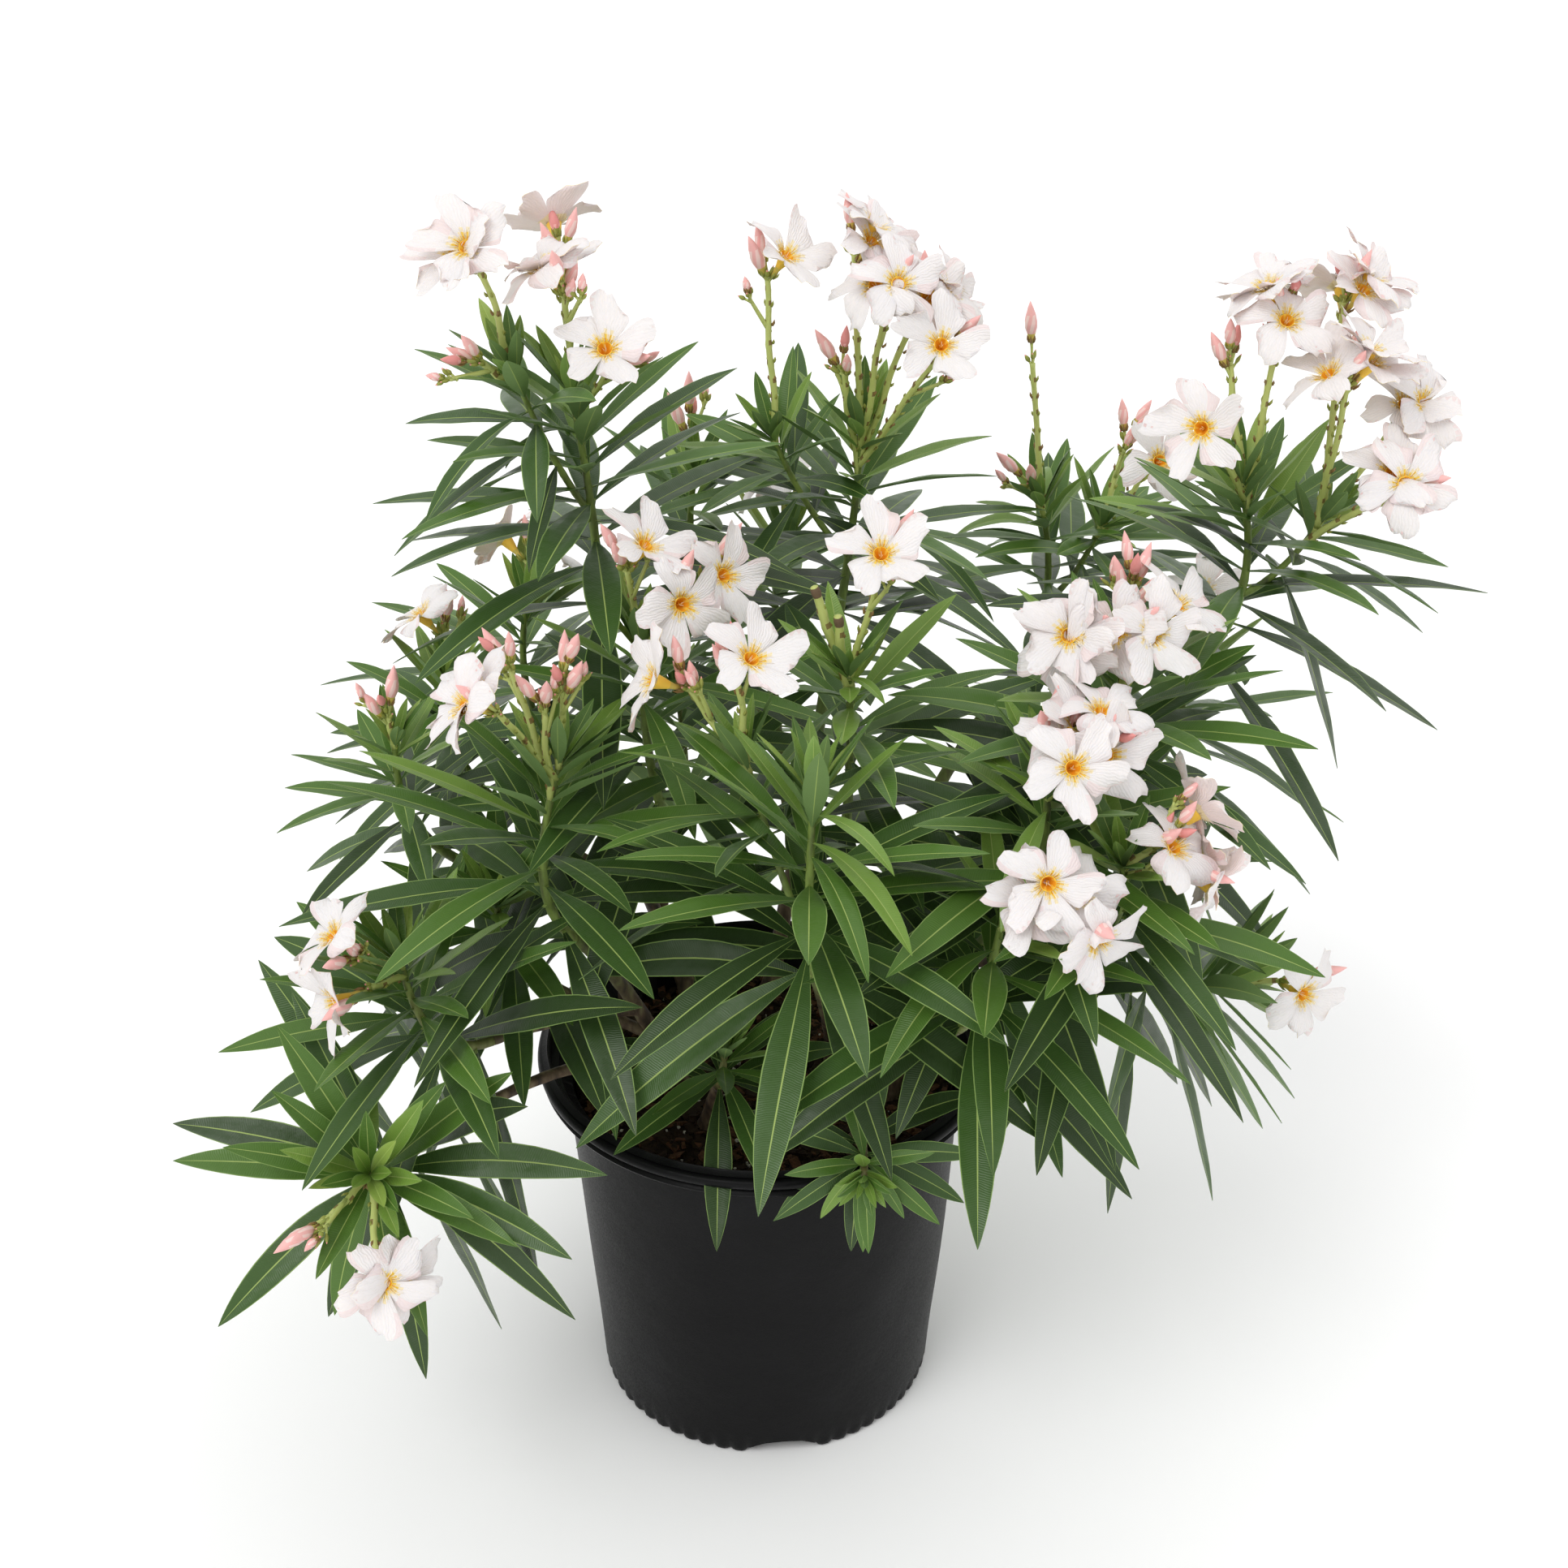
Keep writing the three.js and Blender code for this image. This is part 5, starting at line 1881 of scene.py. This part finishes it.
@dataclass
class Crown:
    """The shoots: their twigs, their whorls of leaves and their blossom."""

    woodwork: Woodwork
    room: Room
    blossom: Blossom
    leaves: LeafMaker = field(default_factory=LeafMaker)
    gap: float = 0.0003
    shoot_radii: Pair = (0.0031, 0.0018)
    twig_radii: Pair = (0.0022, 0.0015)
    twig_lift: float = -0.008
    twig_step: float = 0.0032
    scar_spacing: float = 0.012
    scar_swell: float = 0.1
    bare_shoot: float = 0.12
    bare_twig: float = 0.4
    on_twig: float = 0.8
    per_whorl: int = 3
    more_whorls: int = 5
    below_shoot: float = 0.88
    below_shortest: float = 0.1
    topmost: float = 0.985
    crowding: float = 0.64
    whorl_turn: float = 60.0
    openings: Pair = (92.0, 37.0)
    droops: Pair = (0.42, 0.05)
    folds: Pair = (0.3, 0.5)
    youngest: float = 0.3
    shortening: float = 1.35
    curled_from: float = 0.4
    curled_share: float = 0.16
    curled_by: Pair = (22.0, 0.9)
    # The heart leaves on the apex take the paler tints, partly for youth and partly as painted light.
    heart: tuple[tuple[float, float, AgeAndLight], ...] = (
        (0.33, 33.0, AgeAndLight.GROWN), (0.27, 22.0, AgeAndLight.FRESH), (0.18, 12.0, AgeAndLight.YOUNG),
    )
    # The level above which a leaf takes each tint. The paler tints high up stand partly for painted
    # light, and the darker ones low down stand partly for painted shade.
    ages_and_light_from: tuple[tuple[float, AgeAndLight], ...] = (
        (0.97, AgeAndLight.YOUNG), (0.7, AgeAndLight.FRESH), (0.38, AgeAndLight.GROWN), (0.13, AgeAndLight.DEEP),
    )
    shares: tuple[float, ...] = (1.0, 0.85, 0.7)
    turns: tuple[float, ...] = (0, 12, -12, 24, -24)
    first_seed: int = 101

    def lay_out(self) -> list[Shoot]:
        """Runs every shoot and twig, and grows the blossom that they carry.

        Returns:
            The shoots.
        """
        laid = []
        for index, plan in enumerate(SHOOTS):
            streams = Stream(self.first_seed + index), Stream(self.first_seed * 7 + index)
            shoot = Shoot(plan, [], *streams)
            limb = self.woodwork.limbs[plan.limb]
            way = limb.tangent(1.0)
            start = limb.point(1.0) + way * self.gap
            apex = np.array(plan.apex) * MM
            bend = start + way * float(np.linalg.norm(apex - start)) / 2
            longest, whorls = plan.leaf * MM, plan.whorls + self.more_whorls
            sweep = Sweep(start, bend, apex)
            axis = LeafyAxis(sweep, self.shoot_radii, self.bare_shoot, whorls, longest)
            self._add_axis(shoot, axis, 7, plan.trusses)
            for twig in plan.twigs:
                side = Sweep.raised(sweep.point(twig.at), np.array(twig.apex) * MM, self.twig_lift)
                whorls, length = twig.whorls + self.more_whorls, longest * self.on_twig
                axis = LeafyAxis(side, self.twig_radii, self.bare_twig, whorls, length)
                self._add_axis(shoot, axis, 6, twig.trusses)
            laid.append(shoot)
        return laid

    def _add_axis(self, shoot: Shoot, axis: LeafyAxis, count: int, trusses: Sequence[Truss]) -> None:
        """Adds an axis, notes it as taken space by some points of it, and grows its trusses.

        Args:
            shoot: The shoot.
            axis: The axis.
            count: How many points stand for it where other things must fit.
            trusses: What the trusses on its apex are like.
        """
        shoot.axes.append(axis)
        self.room.take(*rod_net(axis.sweep.points(np.linspace(0, 1, count)), axis.radii[1]))
        self.blossom.grow(axis.sweep, trusses, shoot)

    def wishes(self, shoot: Shoot, axis: LeafyAxis) -> Iterator[LeafWish]:
        """Lays out the leaves of an axis: long, open and drooping below, short and upright above.

        Args:
            shoot: The shoot.
            axis: One of its axes.

        Yields:
            The leaves, lowest first.
        """
        stand, vary = shoot.stand, shoot.vary
        for k in range(axis.whorls):
            rise = k / (axis.whorls - 1)
            at = axis.bare + (self.topmost - axis.bare) * rise**self.crowding
            root, along = axis.sweep.point(at), axis.sweep.tangent(at)
            for i in range(self.per_whorl):
                turn = stand.about(shoot.plan.spin + 360 * i / self.per_whorl + self.whorl_turn * k, 24)
                opening = stand.about(mix(*self.openings, rise), 16)
                droop = stand.about(mix(*self.droops, rise), 0.24)
                longest = axis.longest * mix(1, self.youngest, rise**self.shortening)
                length = longest * (0.88 + 0.17 * stand.draw())
                if rise > self.curled_from and vary.draw() < self.curled_share:
                    opening, droop = opening + self.curled_by[0], droop + self.curled_by[1]
                # The tint follows the leaf's height: youth and painted light above, older leaves and
                # painted shade below.
                age, twist = self._age(rise, vary), vary.about(0, 34)
                fold, ripple = vary.about(mix(*self.folds, rise), 0.2), vary.about(0, 6)
                yield LeafWish(root, along, turn, opening, droop, length, age, twist, fold, ripple)

    def heart_wishes(self, shoot: Shoot, axis: LeafyAxis) -> Iterator[LeafWish]:
        """Lays out the smallest leaves, which stand upright on the apex.

        Args:
            shoot: The shoot.
            axis: One of its axes.

        Yields:
            The leaves, outermost first.
        """
        vary = shoot.vary
        root, along = axis.sweep.point(0.995), axis.sweep.tangent(1.0)
        for ring, (share, opening, age) in enumerate(self.heart):
            for i in range(ring * self.per_whorl, (ring + 1) * self.per_whorl):
                turn = shoot.plan.spin + 120 * i + 50 * ring + vary.about(20, 30)
                length = axis.longest * vary.about(share, 0.07)
                opened, twist = vary.about(opening, 8), vary.about(0, 30)
                yield LeafWish(root, along, turn, opened, 0.0, length, age, twist, 0.6, 0.0)

    def low_wishes(self, shoot: Shoot) -> Iterator[LeafWish]:
        """Lays out the old drooping leaves that are left on a limb just below its shoot.

        Args:
            shoot: The shoot.

        Yields:
            The leaves.
        """
        limb, vary = self.woodwork.limbs[shoot.plan.limb], shoot.vary
        if limb.length < self.below_shortest:
            return
        root, along = limb.point(self.below_shoot), limb.tangent(self.below_shoot)
        for i in range(self.per_whorl):
            turn = vary.about(shoot.plan.spin + 360 * i / self.per_whorl + self.whorl_turn, 40)
            length = shoot.plan.leaf * MM * vary.about(0.84, 0.24)
            opening, droop = vary.about(self.openings[0], 20), vary.about(0.5, 0.3)
            # The low leaves take the darkest tints, partly for being old and partly as painted shade.
            age = AgeAndLight.OLD if vary.draw() < 0.6 else AgeAndLight.DEEP
            twist, fold, ripple = vary.about(0, 40), vary.about(0.3, 0.2), vary.about(0, 6)
            yield LeafWish(root, along, turn, opening, droop, length, age, twist, fold, ripple)

    def _age(self, rise: float, vary: Stream) -> AgeAndLight:
        """Draws a leaf's tint by how high on its twig it grows, from 0 to 1. It is paler higher up,
        partly for youth and partly as painted light, and darker lower down, partly for being older and
        partly as painted shade.
        """
        level = vary.about(rise, 0.34)
        return next((age for start, age in self.ages_and_light_from if level > start), AgeAndLight.OLD)

    def fitted(self, wish: LeafWish) -> Form | None:
        """Grows a leaf as wished, or turned aside, or shorter, whichever first keeps clear.

        Args:
            wish: The leaf.

        Returns:
            The leaf, or nothing if it fits nowhere.
        """
        for share in self.shares:
            for aside in self.turns:
                way = opened_from(wish.axis, wish.opening + abs(aside) / 3, wish.turn + aside)
                tried = replace(wish, length=wish.length * share)
                net = self.leaves.net(tried, way)
                if self.room.is_clear(net, self.leaves.net_faces):
                    self.room.take(net, self.leaves.net_faces)
                    return self.leaves.form(tried, way)
        return None

    def _all_wishes(self, laid: Sequence[Shoot]) -> Iterator[tuple[ShootPlan, LeafWish]]:
        """Lays out every leaf: those of all the shoots first, then the old ones below them.

        Args:
            laid: The shoots.

        Yields:
            Each leaf, with the plan of its shoot.
        """
        for shoot in laid:
            for axis in shoot.axes:
                for wish in chain(self.wishes(shoot, axis), self.heart_wishes(shoot, axis)):
                    yield shoot.plan, wish
        for shoot in laid:
            for wish in self.low_wishes(shoot):
                yield shoot.plan, wish

    def build(self) -> None:
        """Grows all the shoots and makes their pieces."""
        laid = self.lay_out()
        twigs = Piece("twigs", "bough", (YOUNG_BARK,))
        for shoot in laid:
            for axis in shoot.axes:
                twigs.add(self._twig(axis))
        finishes = self.leaves.finishes
        pieces = {region: Piece(f"leaves_{region.value}", "foliage", finishes, 75) for region in Region}
        grown = wished = 0
        for plan, wish in self._all_wishes(laid):
            wished += 1
            form = self.fitted(wish)
            if form:
                pieces[Region.of(plan)].add(form)
                grown += 1
        log.info("%d leaves grown, %d left out for want of room", grown, wished - grown)
        twigs.build()
        for region, piece in pieces.items():
            piece.build(*(plan.name for plan in SHOOTS if Region.of(plan) is region))
        self.blossom.build()

    def _twig(self, axis: LeafyAxis) -> Form:
        """Makes a leafy twig with its faint rings of leaf scars.

        Args:
            axis: The axis.

        Returns:
            The twig.
        """
        length = axis.sweep.length
        shares = np.linspace(0, 1, max(10, int(length / self.twig_step)))
        phase = (shares * length / self.scar_spacing) % 1
        radii = mix(*axis.radii, shares) * (1 + self.scar_swell * swelling(phase, 8))
        return tube(axis.sweep.points(shares), radii, 10)


# ---- pot and soil


@dataclass
class Pot:
    """A nursery pot with a rolled lip, a crimped foot and arched drain notches.

    Shares are of the rim's radius, or of the pot's height for the shoulder's level.
    """

    low: Vector
    high: Vector
    base_share: float = 0.7607
    shoulder_share: float = 0.8786
    shoulder_level: float = 0.9225
    groove_share: float = 0.9714
    bead_share: float = 0.9857
    inner_share: float = 0.95
    wall: float = 0.003
    floor: float = 0.004
    foot_height: float = 0.004
    side_levels: tuple[float, ...] = (
        0.012, 0.03, 0.06, 0.12, 0.2, 0.3, 0.4, 0.5, 0.6, 0.7, 0.8, 0.9, 0.97, 1.0,
    )
    bulge_points: int = 7
    bulge_power: float = 0.6
    crimps: int = 60
    crimp_depth: float = 0.0026
    crimp_height: float = 0.009
    waves: tuple[tuple[float, int, float], ...] = ((0.0006, 3, 20.0), (0.0004, 7, -34.0))
    wave_fade: float = 0.05
    drains: int = 3
    drain_width: float = 0.046
    drain_height: float = 0.011
    drain_depth: float = 0.024
    drain_bearing: float = -84.0
    arch_points: int = 17
    sides: int = 360
    crease: float = 55.0

    def __post_init__(self) -> None:
        """Works out the radii of the rim, the base and the shoulder."""
        self.rim = (self.high.x - self.low.x) / 2
        self.base, self.shoulder = self.rim * self.base_share, self.rim * self.shoulder_share

    def profile(self) -> Array:
        """Draws the wall's section, from the underside's middle, out and up, and back inside.

        Returns:
            The section's points, as radius and height.
        """
        rim, base, shoulder, top, foot = self.rim, self.base, self.shoulder, self.high.z, self.foot_height
        level, inner = top * self.shoulder_level, rim * self.inner_share
        under = [(0, 0), (base * 0.6, 0), (base - 0.006, 0), (base - 0.0022, 0.0004)]
        under += [(base - 0.0006, 0.0016), (base, foot)]
        side = [(base + (shoulder - base) * s, foot + (level - foot) * s) for s in self.side_levels]
        bead = self._bulge(shoulder + 0.004, level + 0.001, rim * self.bead_share, top - 0.0112)
        ridge = self._bulge(rim * self.groove_share, top - 0.0104, rim, top - 0.0036)
        lip = [(rim - 0.0026, top - 0.0022), (rim - 0.0052, top - 0.0008), (inner + 0.001, top)]
        lip += [(inner - 0.0004, top - 0.0008), (inner - 0.001, top - 0.004)]
        lip += [(inner - 0.0016, top - 0.012)]
        inside = [(shoulder - self.wall, level), (base - self.wall, self.floor), (0, self.floor)]
        return np.array(under + side + bead + ridge + lip + inside)

    def _bulge(self, near: float, low: float, far: float, high: float) -> list[Pair]:
        """Rounds a ring's section outward.

        Args:
            near: Its radius at its lower and upper edge.
            low: The height of its lower edge.
            far: Its widest radius.
            high: The height of its upper edge.

        Returns:
            The section's points, from its lower edge up.
        """
        angles = np.linspace(-math.pi / 2, math.pi / 2, self.bulge_points)
        middle, half = (low + high) / 2, (high - low) / 2
        radii = [near + (far - near) * math.cos(a) ** self.bulge_power for a in angles]
        return [(radius, middle + half * math.sin(a)) for radius, a in zip(radii, angles)]

    def build(self) -> None:
        """Makes the pot: turned, crimped at its foot, uneven as moulded film is, and notched."""
        form = lathe(self.profile(), self.sides)
        x, y, z = form.points.T
        turn, radius = np.arctan2(y, x), np.hypot(x, y)
        near_wall = radius > self.base - 0.008
        fade = np.clip(1 - z / self.crimp_height, 0, 1) ** 0.7 * near_wall
        bite = np.clip(np.cos(turn * self.crimps), 0, 1) ** 1.5
        wave = sum(deep * np.sin(often * turn + z * lean) for deep, often, lean in self.waves)
        below_rim = np.clip((self.high.z - 0.02 - z) / self.wave_fade, 0, 1)
        middle = np.clip(z / self.wave_fade, 0, 1) * below_rim
        inward = fade * bite * self.crimp_depth - wave * middle * near_wall
        form.points[:, :2] *= (1 - inward / np.maximum(radius, 0.01))[:, None]
        piece = Piece("pot_shell", "pot", (POT_PLASTIC,), self.crease)
        piece.add(form)
        made = piece.build("pot")
        for i in range(self.drains):
            self._notch(made, self.drain_bearing + 360 * i / self.drains)
        made.data.set_sharp_from_angle(angle=math.radians(self.crease))

    def _notch(self, made: bpy.types.Object, bearing: float) -> None:
        """Cuts one arched notch through the foot of the wall.

        Args:
            made: The pot.
            bearing: Where the notch is, in degrees.
        """
        out = ray(math.radians(bearing))
        side = np.array((-out[1], out[0], 0.0))
        angles = np.linspace(math.pi, 0, self.arch_points)
        arch = [(0.5 * self.drain_width * math.cos(a), self.drain_height * math.sin(a)) for a in angles]
        arch = [(arch[0][0], -0.01), *arch, (arch[-1][0], -0.01)]
        reaches = (self.base - self.drain_depth, self.rim)
        points = [tuple(out * reach + side * x + UP * z) for reach in reaches for x, z in arch]
        count = len(arch)
        faces = [tuple(range(count)), tuple(range(2 * count - 1, count - 1, -1))]
        faces += [(i, count + i, count + (i + 1) % count, (i + 1) % count) for i in range(count)]
        mesh = bpy.data.meshes.new("notch_cutter")
        mesh.from_pydata(points, [], faces)
        cutter = shown("notch_cutter", mesh)
        cut = made.modifiers.new("notch", "BOOLEAN")
        cut.object, cut.operation, cut.solver = cutter, "DIFFERENCE", "EXACT"
        evaluated = made.evaluated_get(bpy.context.evaluated_depsgraph_get())
        shape = bpy.data.meshes.new_from_object(evaluated)
        made.modifiers.remove(cut)
        made.data = shape
        bpy.data.objects.remove(cutter)


@dataclass
class Soil:
    """The bark soil: a crumbly fill, strewn with chips of bark and specks of perlite."""

    low: Vector
    high: Vector
    sides: int = 144
    rings: int = 46
    relief: float = 0.0026
    edge_drop: float = 0.005
    edge_from: float = 0.88
    edge_width: float = 0.12
    calm_edge: float = 0.004
    chips: int = 1500
    chip_sizes: tuple[Pair, ...] = ((0.002, 0.0075), (0.0012, 0.0032), (0.0005, 0.0012))
    red_share: float = 0.3
    specks: int = 260
    speck_sizes: Pair = (0.0005, 0.0013)
    strewn_to: float = 0.97
    seed: int = 9

    def height(self, x: Array, y: Array) -> Array:
        """Works out how far the soil's surface lies above its level, uneven in lumps of all sizes.

        Args:
            x: The places' first coordinates.
            y: Their second coordinates.

        Returns:
            The height at each place.
        """
        lumps = np.sin(x * 61 + 1.3) * np.cos(y * 53 - 0.4) + 0.7 * np.sin(x * 133 - y * 97 + 2.0)
        crumbs = np.sin(x * 410 + 0.6 * np.sin(y * 300)) * np.sin(y * 380 + 1.0)
        grit = np.sin(x * 905 + y * 340) * np.sin(y * 860 - x * 210)
        return self.relief * (0.5 * lumps + 0.42 * crumbs + 0.3 * grit - 0.4)

    def edge(self, share: float) -> float:
        """Returns how far the soil drops towards the wall, at a share of its radius."""
        return self.edge_drop * min(1.0, max(0.0, (share - self.edge_from) / self.edge_width))

    def build(self) -> None:
        """Makes the soil and what is strewn over it."""
        top, low, radius = self.high.z, self.low.z, (self.high.x - self.low.x) / 2
        profile = [(0.0, low), (radius * 0.74, low), (radius * 0.9, low + 0.02)]
        profile += [(radius, top - self.edge_drop)]
        spread = np.linspace(1.0, 0.0, self.rings)[:-1]
        profile += [(radius * s * 0.995, top - self.edge(s)) for s in spread]
        form = lathe(np.array([*profile, (0.0, top)]), self.sides)
        x, y, z = form.points.T
        on_top = z > top - self.edge_drop - 0.0002
        inside = np.clip((radius - np.hypot(x, y)) / self.calm_edge, 0, 1)
        form.points[:, 2] += on_top * inside * self.height(x, y)
        piece = Piece("soil_fill", "soil", (SOIL_CRUMB,))
        piece.add(form)
        piece.build("soil")
        self._strew(top, radius * self.strewn_to)

    def _strew(self, top: float, reach: float) -> None:
        """Strews the chips and specks.

        Args:
            top: The soil's level.
            reach: How far from the middle they lie.
        """
        random = np.random.default_rng(self.seed)
        box = np.array([(x, y, z) for x in (-1, 1) for y in (-1, 1) for z in (-1, 1)], dtype=float)
        sides = np.array((
            (0, 1, 3, 2), (4, 6, 7, 5), (0, 4, 5, 1), (2, 3, 7, 6), (0, 2, 6, 4), (1, 5, 7, 3),
        ))
        chips = Piece("bark_chips", "soil", (CHIP_DARK, CHIP_RED), 40)
        specks = Piece("perlite_specks", "soil", (PERLITE,), 70)
        for i in range(self.chips + self.specks):
            is_chip = i < self.chips
            if is_chip:
                size = np.array([random.uniform(*sizes) for sizes in self.chip_sizes])
            else:
                size = np.full(3, random.uniform(*self.speck_sizes)) * random.uniform(0.7, 1.2, 3)
            shape = box * size * random.uniform(0.6, 1.15, (8, 3))
            turn, tip = random.uniform(0, 2 * math.pi), random.normal(0, 0.35)
            cos, sin = math.cos(turn), math.sin(turn)
            spin = np.array(((cos, -sin, 0), (sin, cos, 0), (0, 0, 1)))
            cos, sin = math.cos(tip), math.sin(tip)
            lean = np.array(((cos, 0, -sin), (0, 1, 0), (sin, 0, cos)))
            away, bearing = reach * math.sqrt(random.uniform(0, 1)), random.uniform(0, 2 * math.pi)
            x, y = away * math.cos(bearing), away * math.sin(bearing)
            drop = self.edge(away / reach * self.strewn_to)
            lift = float(self.height(np.array(x), np.array(y))) + size[2] * 0.5 - drop
            number = int(is_chip and random.random() < self.red_share)
            points = shape @ lean.T @ spin.T + (x, y, top + lift)
            (chips if is_chip else specks).add(Form(points, [(sides, np.full(len(sides), number))]))
        chips.build()
        specks.build()


# ---- stage


@dataclass
class Lamp:
    """A broad soft light from far away."""

    name: str
    place: Triple
    spread: float
    strength: float

    def build(self) -> None:
        """Hangs the lamp so that it looks at the plant."""
        light = bpy.data.lights.new(self.name, "SUN")
        light.energy, light.angle = self.strength, math.radians(self.spread)
        lamp = shown(self.name, light)
        lamp.location = self.place
        lamp.rotation_euler = (-Vector(self.place)).to_track_quat("-Z", "Y").to_euler()


@dataclass
class Stage:
    """A pale floor, soft lamps, a pale sky and the camera."""

    camera_place: Triple = (0.012, -1.198, 1.081)
    camera_pitch: float = 61.2
    focal_length: float = 53.96
    sensor: float = 36.0
    floor_size: float = 30.0
    sky: float = 0.86
    lamps: tuple[Lamp, ...] = (
        Lamp("key", (-1.3, -1.8, 2.6), 32.0, 1.1),
        Lamp("back", (1.2, 1.6, 2.4), 60.0, 0.35),
    )

    def build(self) -> None:
        """Sets the stage."""
        scene = bpy.context.scene
        lens = bpy.data.cameras.new("camera")
        lens.lens, lens.sensor_width = self.focal_length, self.sensor
        lens.clip_end = 100.0
        camera = shown("camera", lens)
        camera.location = self.camera_place
        camera.rotation_euler = (math.radians(self.camera_pitch), 0.0, 0.0)
        scene.camera = camera
        scene.view_settings.view_transform = "Standard"
        half = self.floor_size / 2
        mesh = bpy.data.meshes.new("floor")
        corners = [(-half, -half, 0), (half, -half, 0), (half, half, 0), (-half, half, 0)]
        mesh.from_pydata(corners, [], [(0, 1, 2, 3)])
        mesh.materials.append(FLOOR_PAPER.material())
        floor = shown("floor", mesh)
        floor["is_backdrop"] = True
        world = bpy.data.worlds.new("sky")
        world.use_nodes = True
        background = world.node_tree.nodes["Background"]
        background.inputs["Color"].default_value = (1.0, 1.0, 1.0, 1.0)
        background.inputs["Strength"].default_value = self.sky
        scene.world = world
        for lamp in self.lamps:
            lamp.build()
        log.info("stage: %d lamps", len(self.lamps))


def write_sizes() -> None:
    """Gathers the solids' box and the finished model's box, each as its two corners in plain lists of
    numbers.
    """
    boxes = {"cad": CAD_BOUNDS, "visual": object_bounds()}
    plain = {name: [list(corner) for corner in box] for name, box in boxes.items()}


def main() -> None:
    """Builds the plant, its pot and the stage."""
    logging.basicConfig(level=logging.INFO, format="%(name)s %(message)s")
    Stage().build()
    Pot(*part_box("pot")).build()
    soil = Soil(*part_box("soil"))
    soil.build()
    room, woodwork = Room(), Woodwork(soil_top=soil.high.z)
    woodwork.lay_out(room)
    woodwork.build()
    Crown(woodwork, room, Blossom(room)).build()
    write_sizes()


if __name__ == "__main__":
    main()
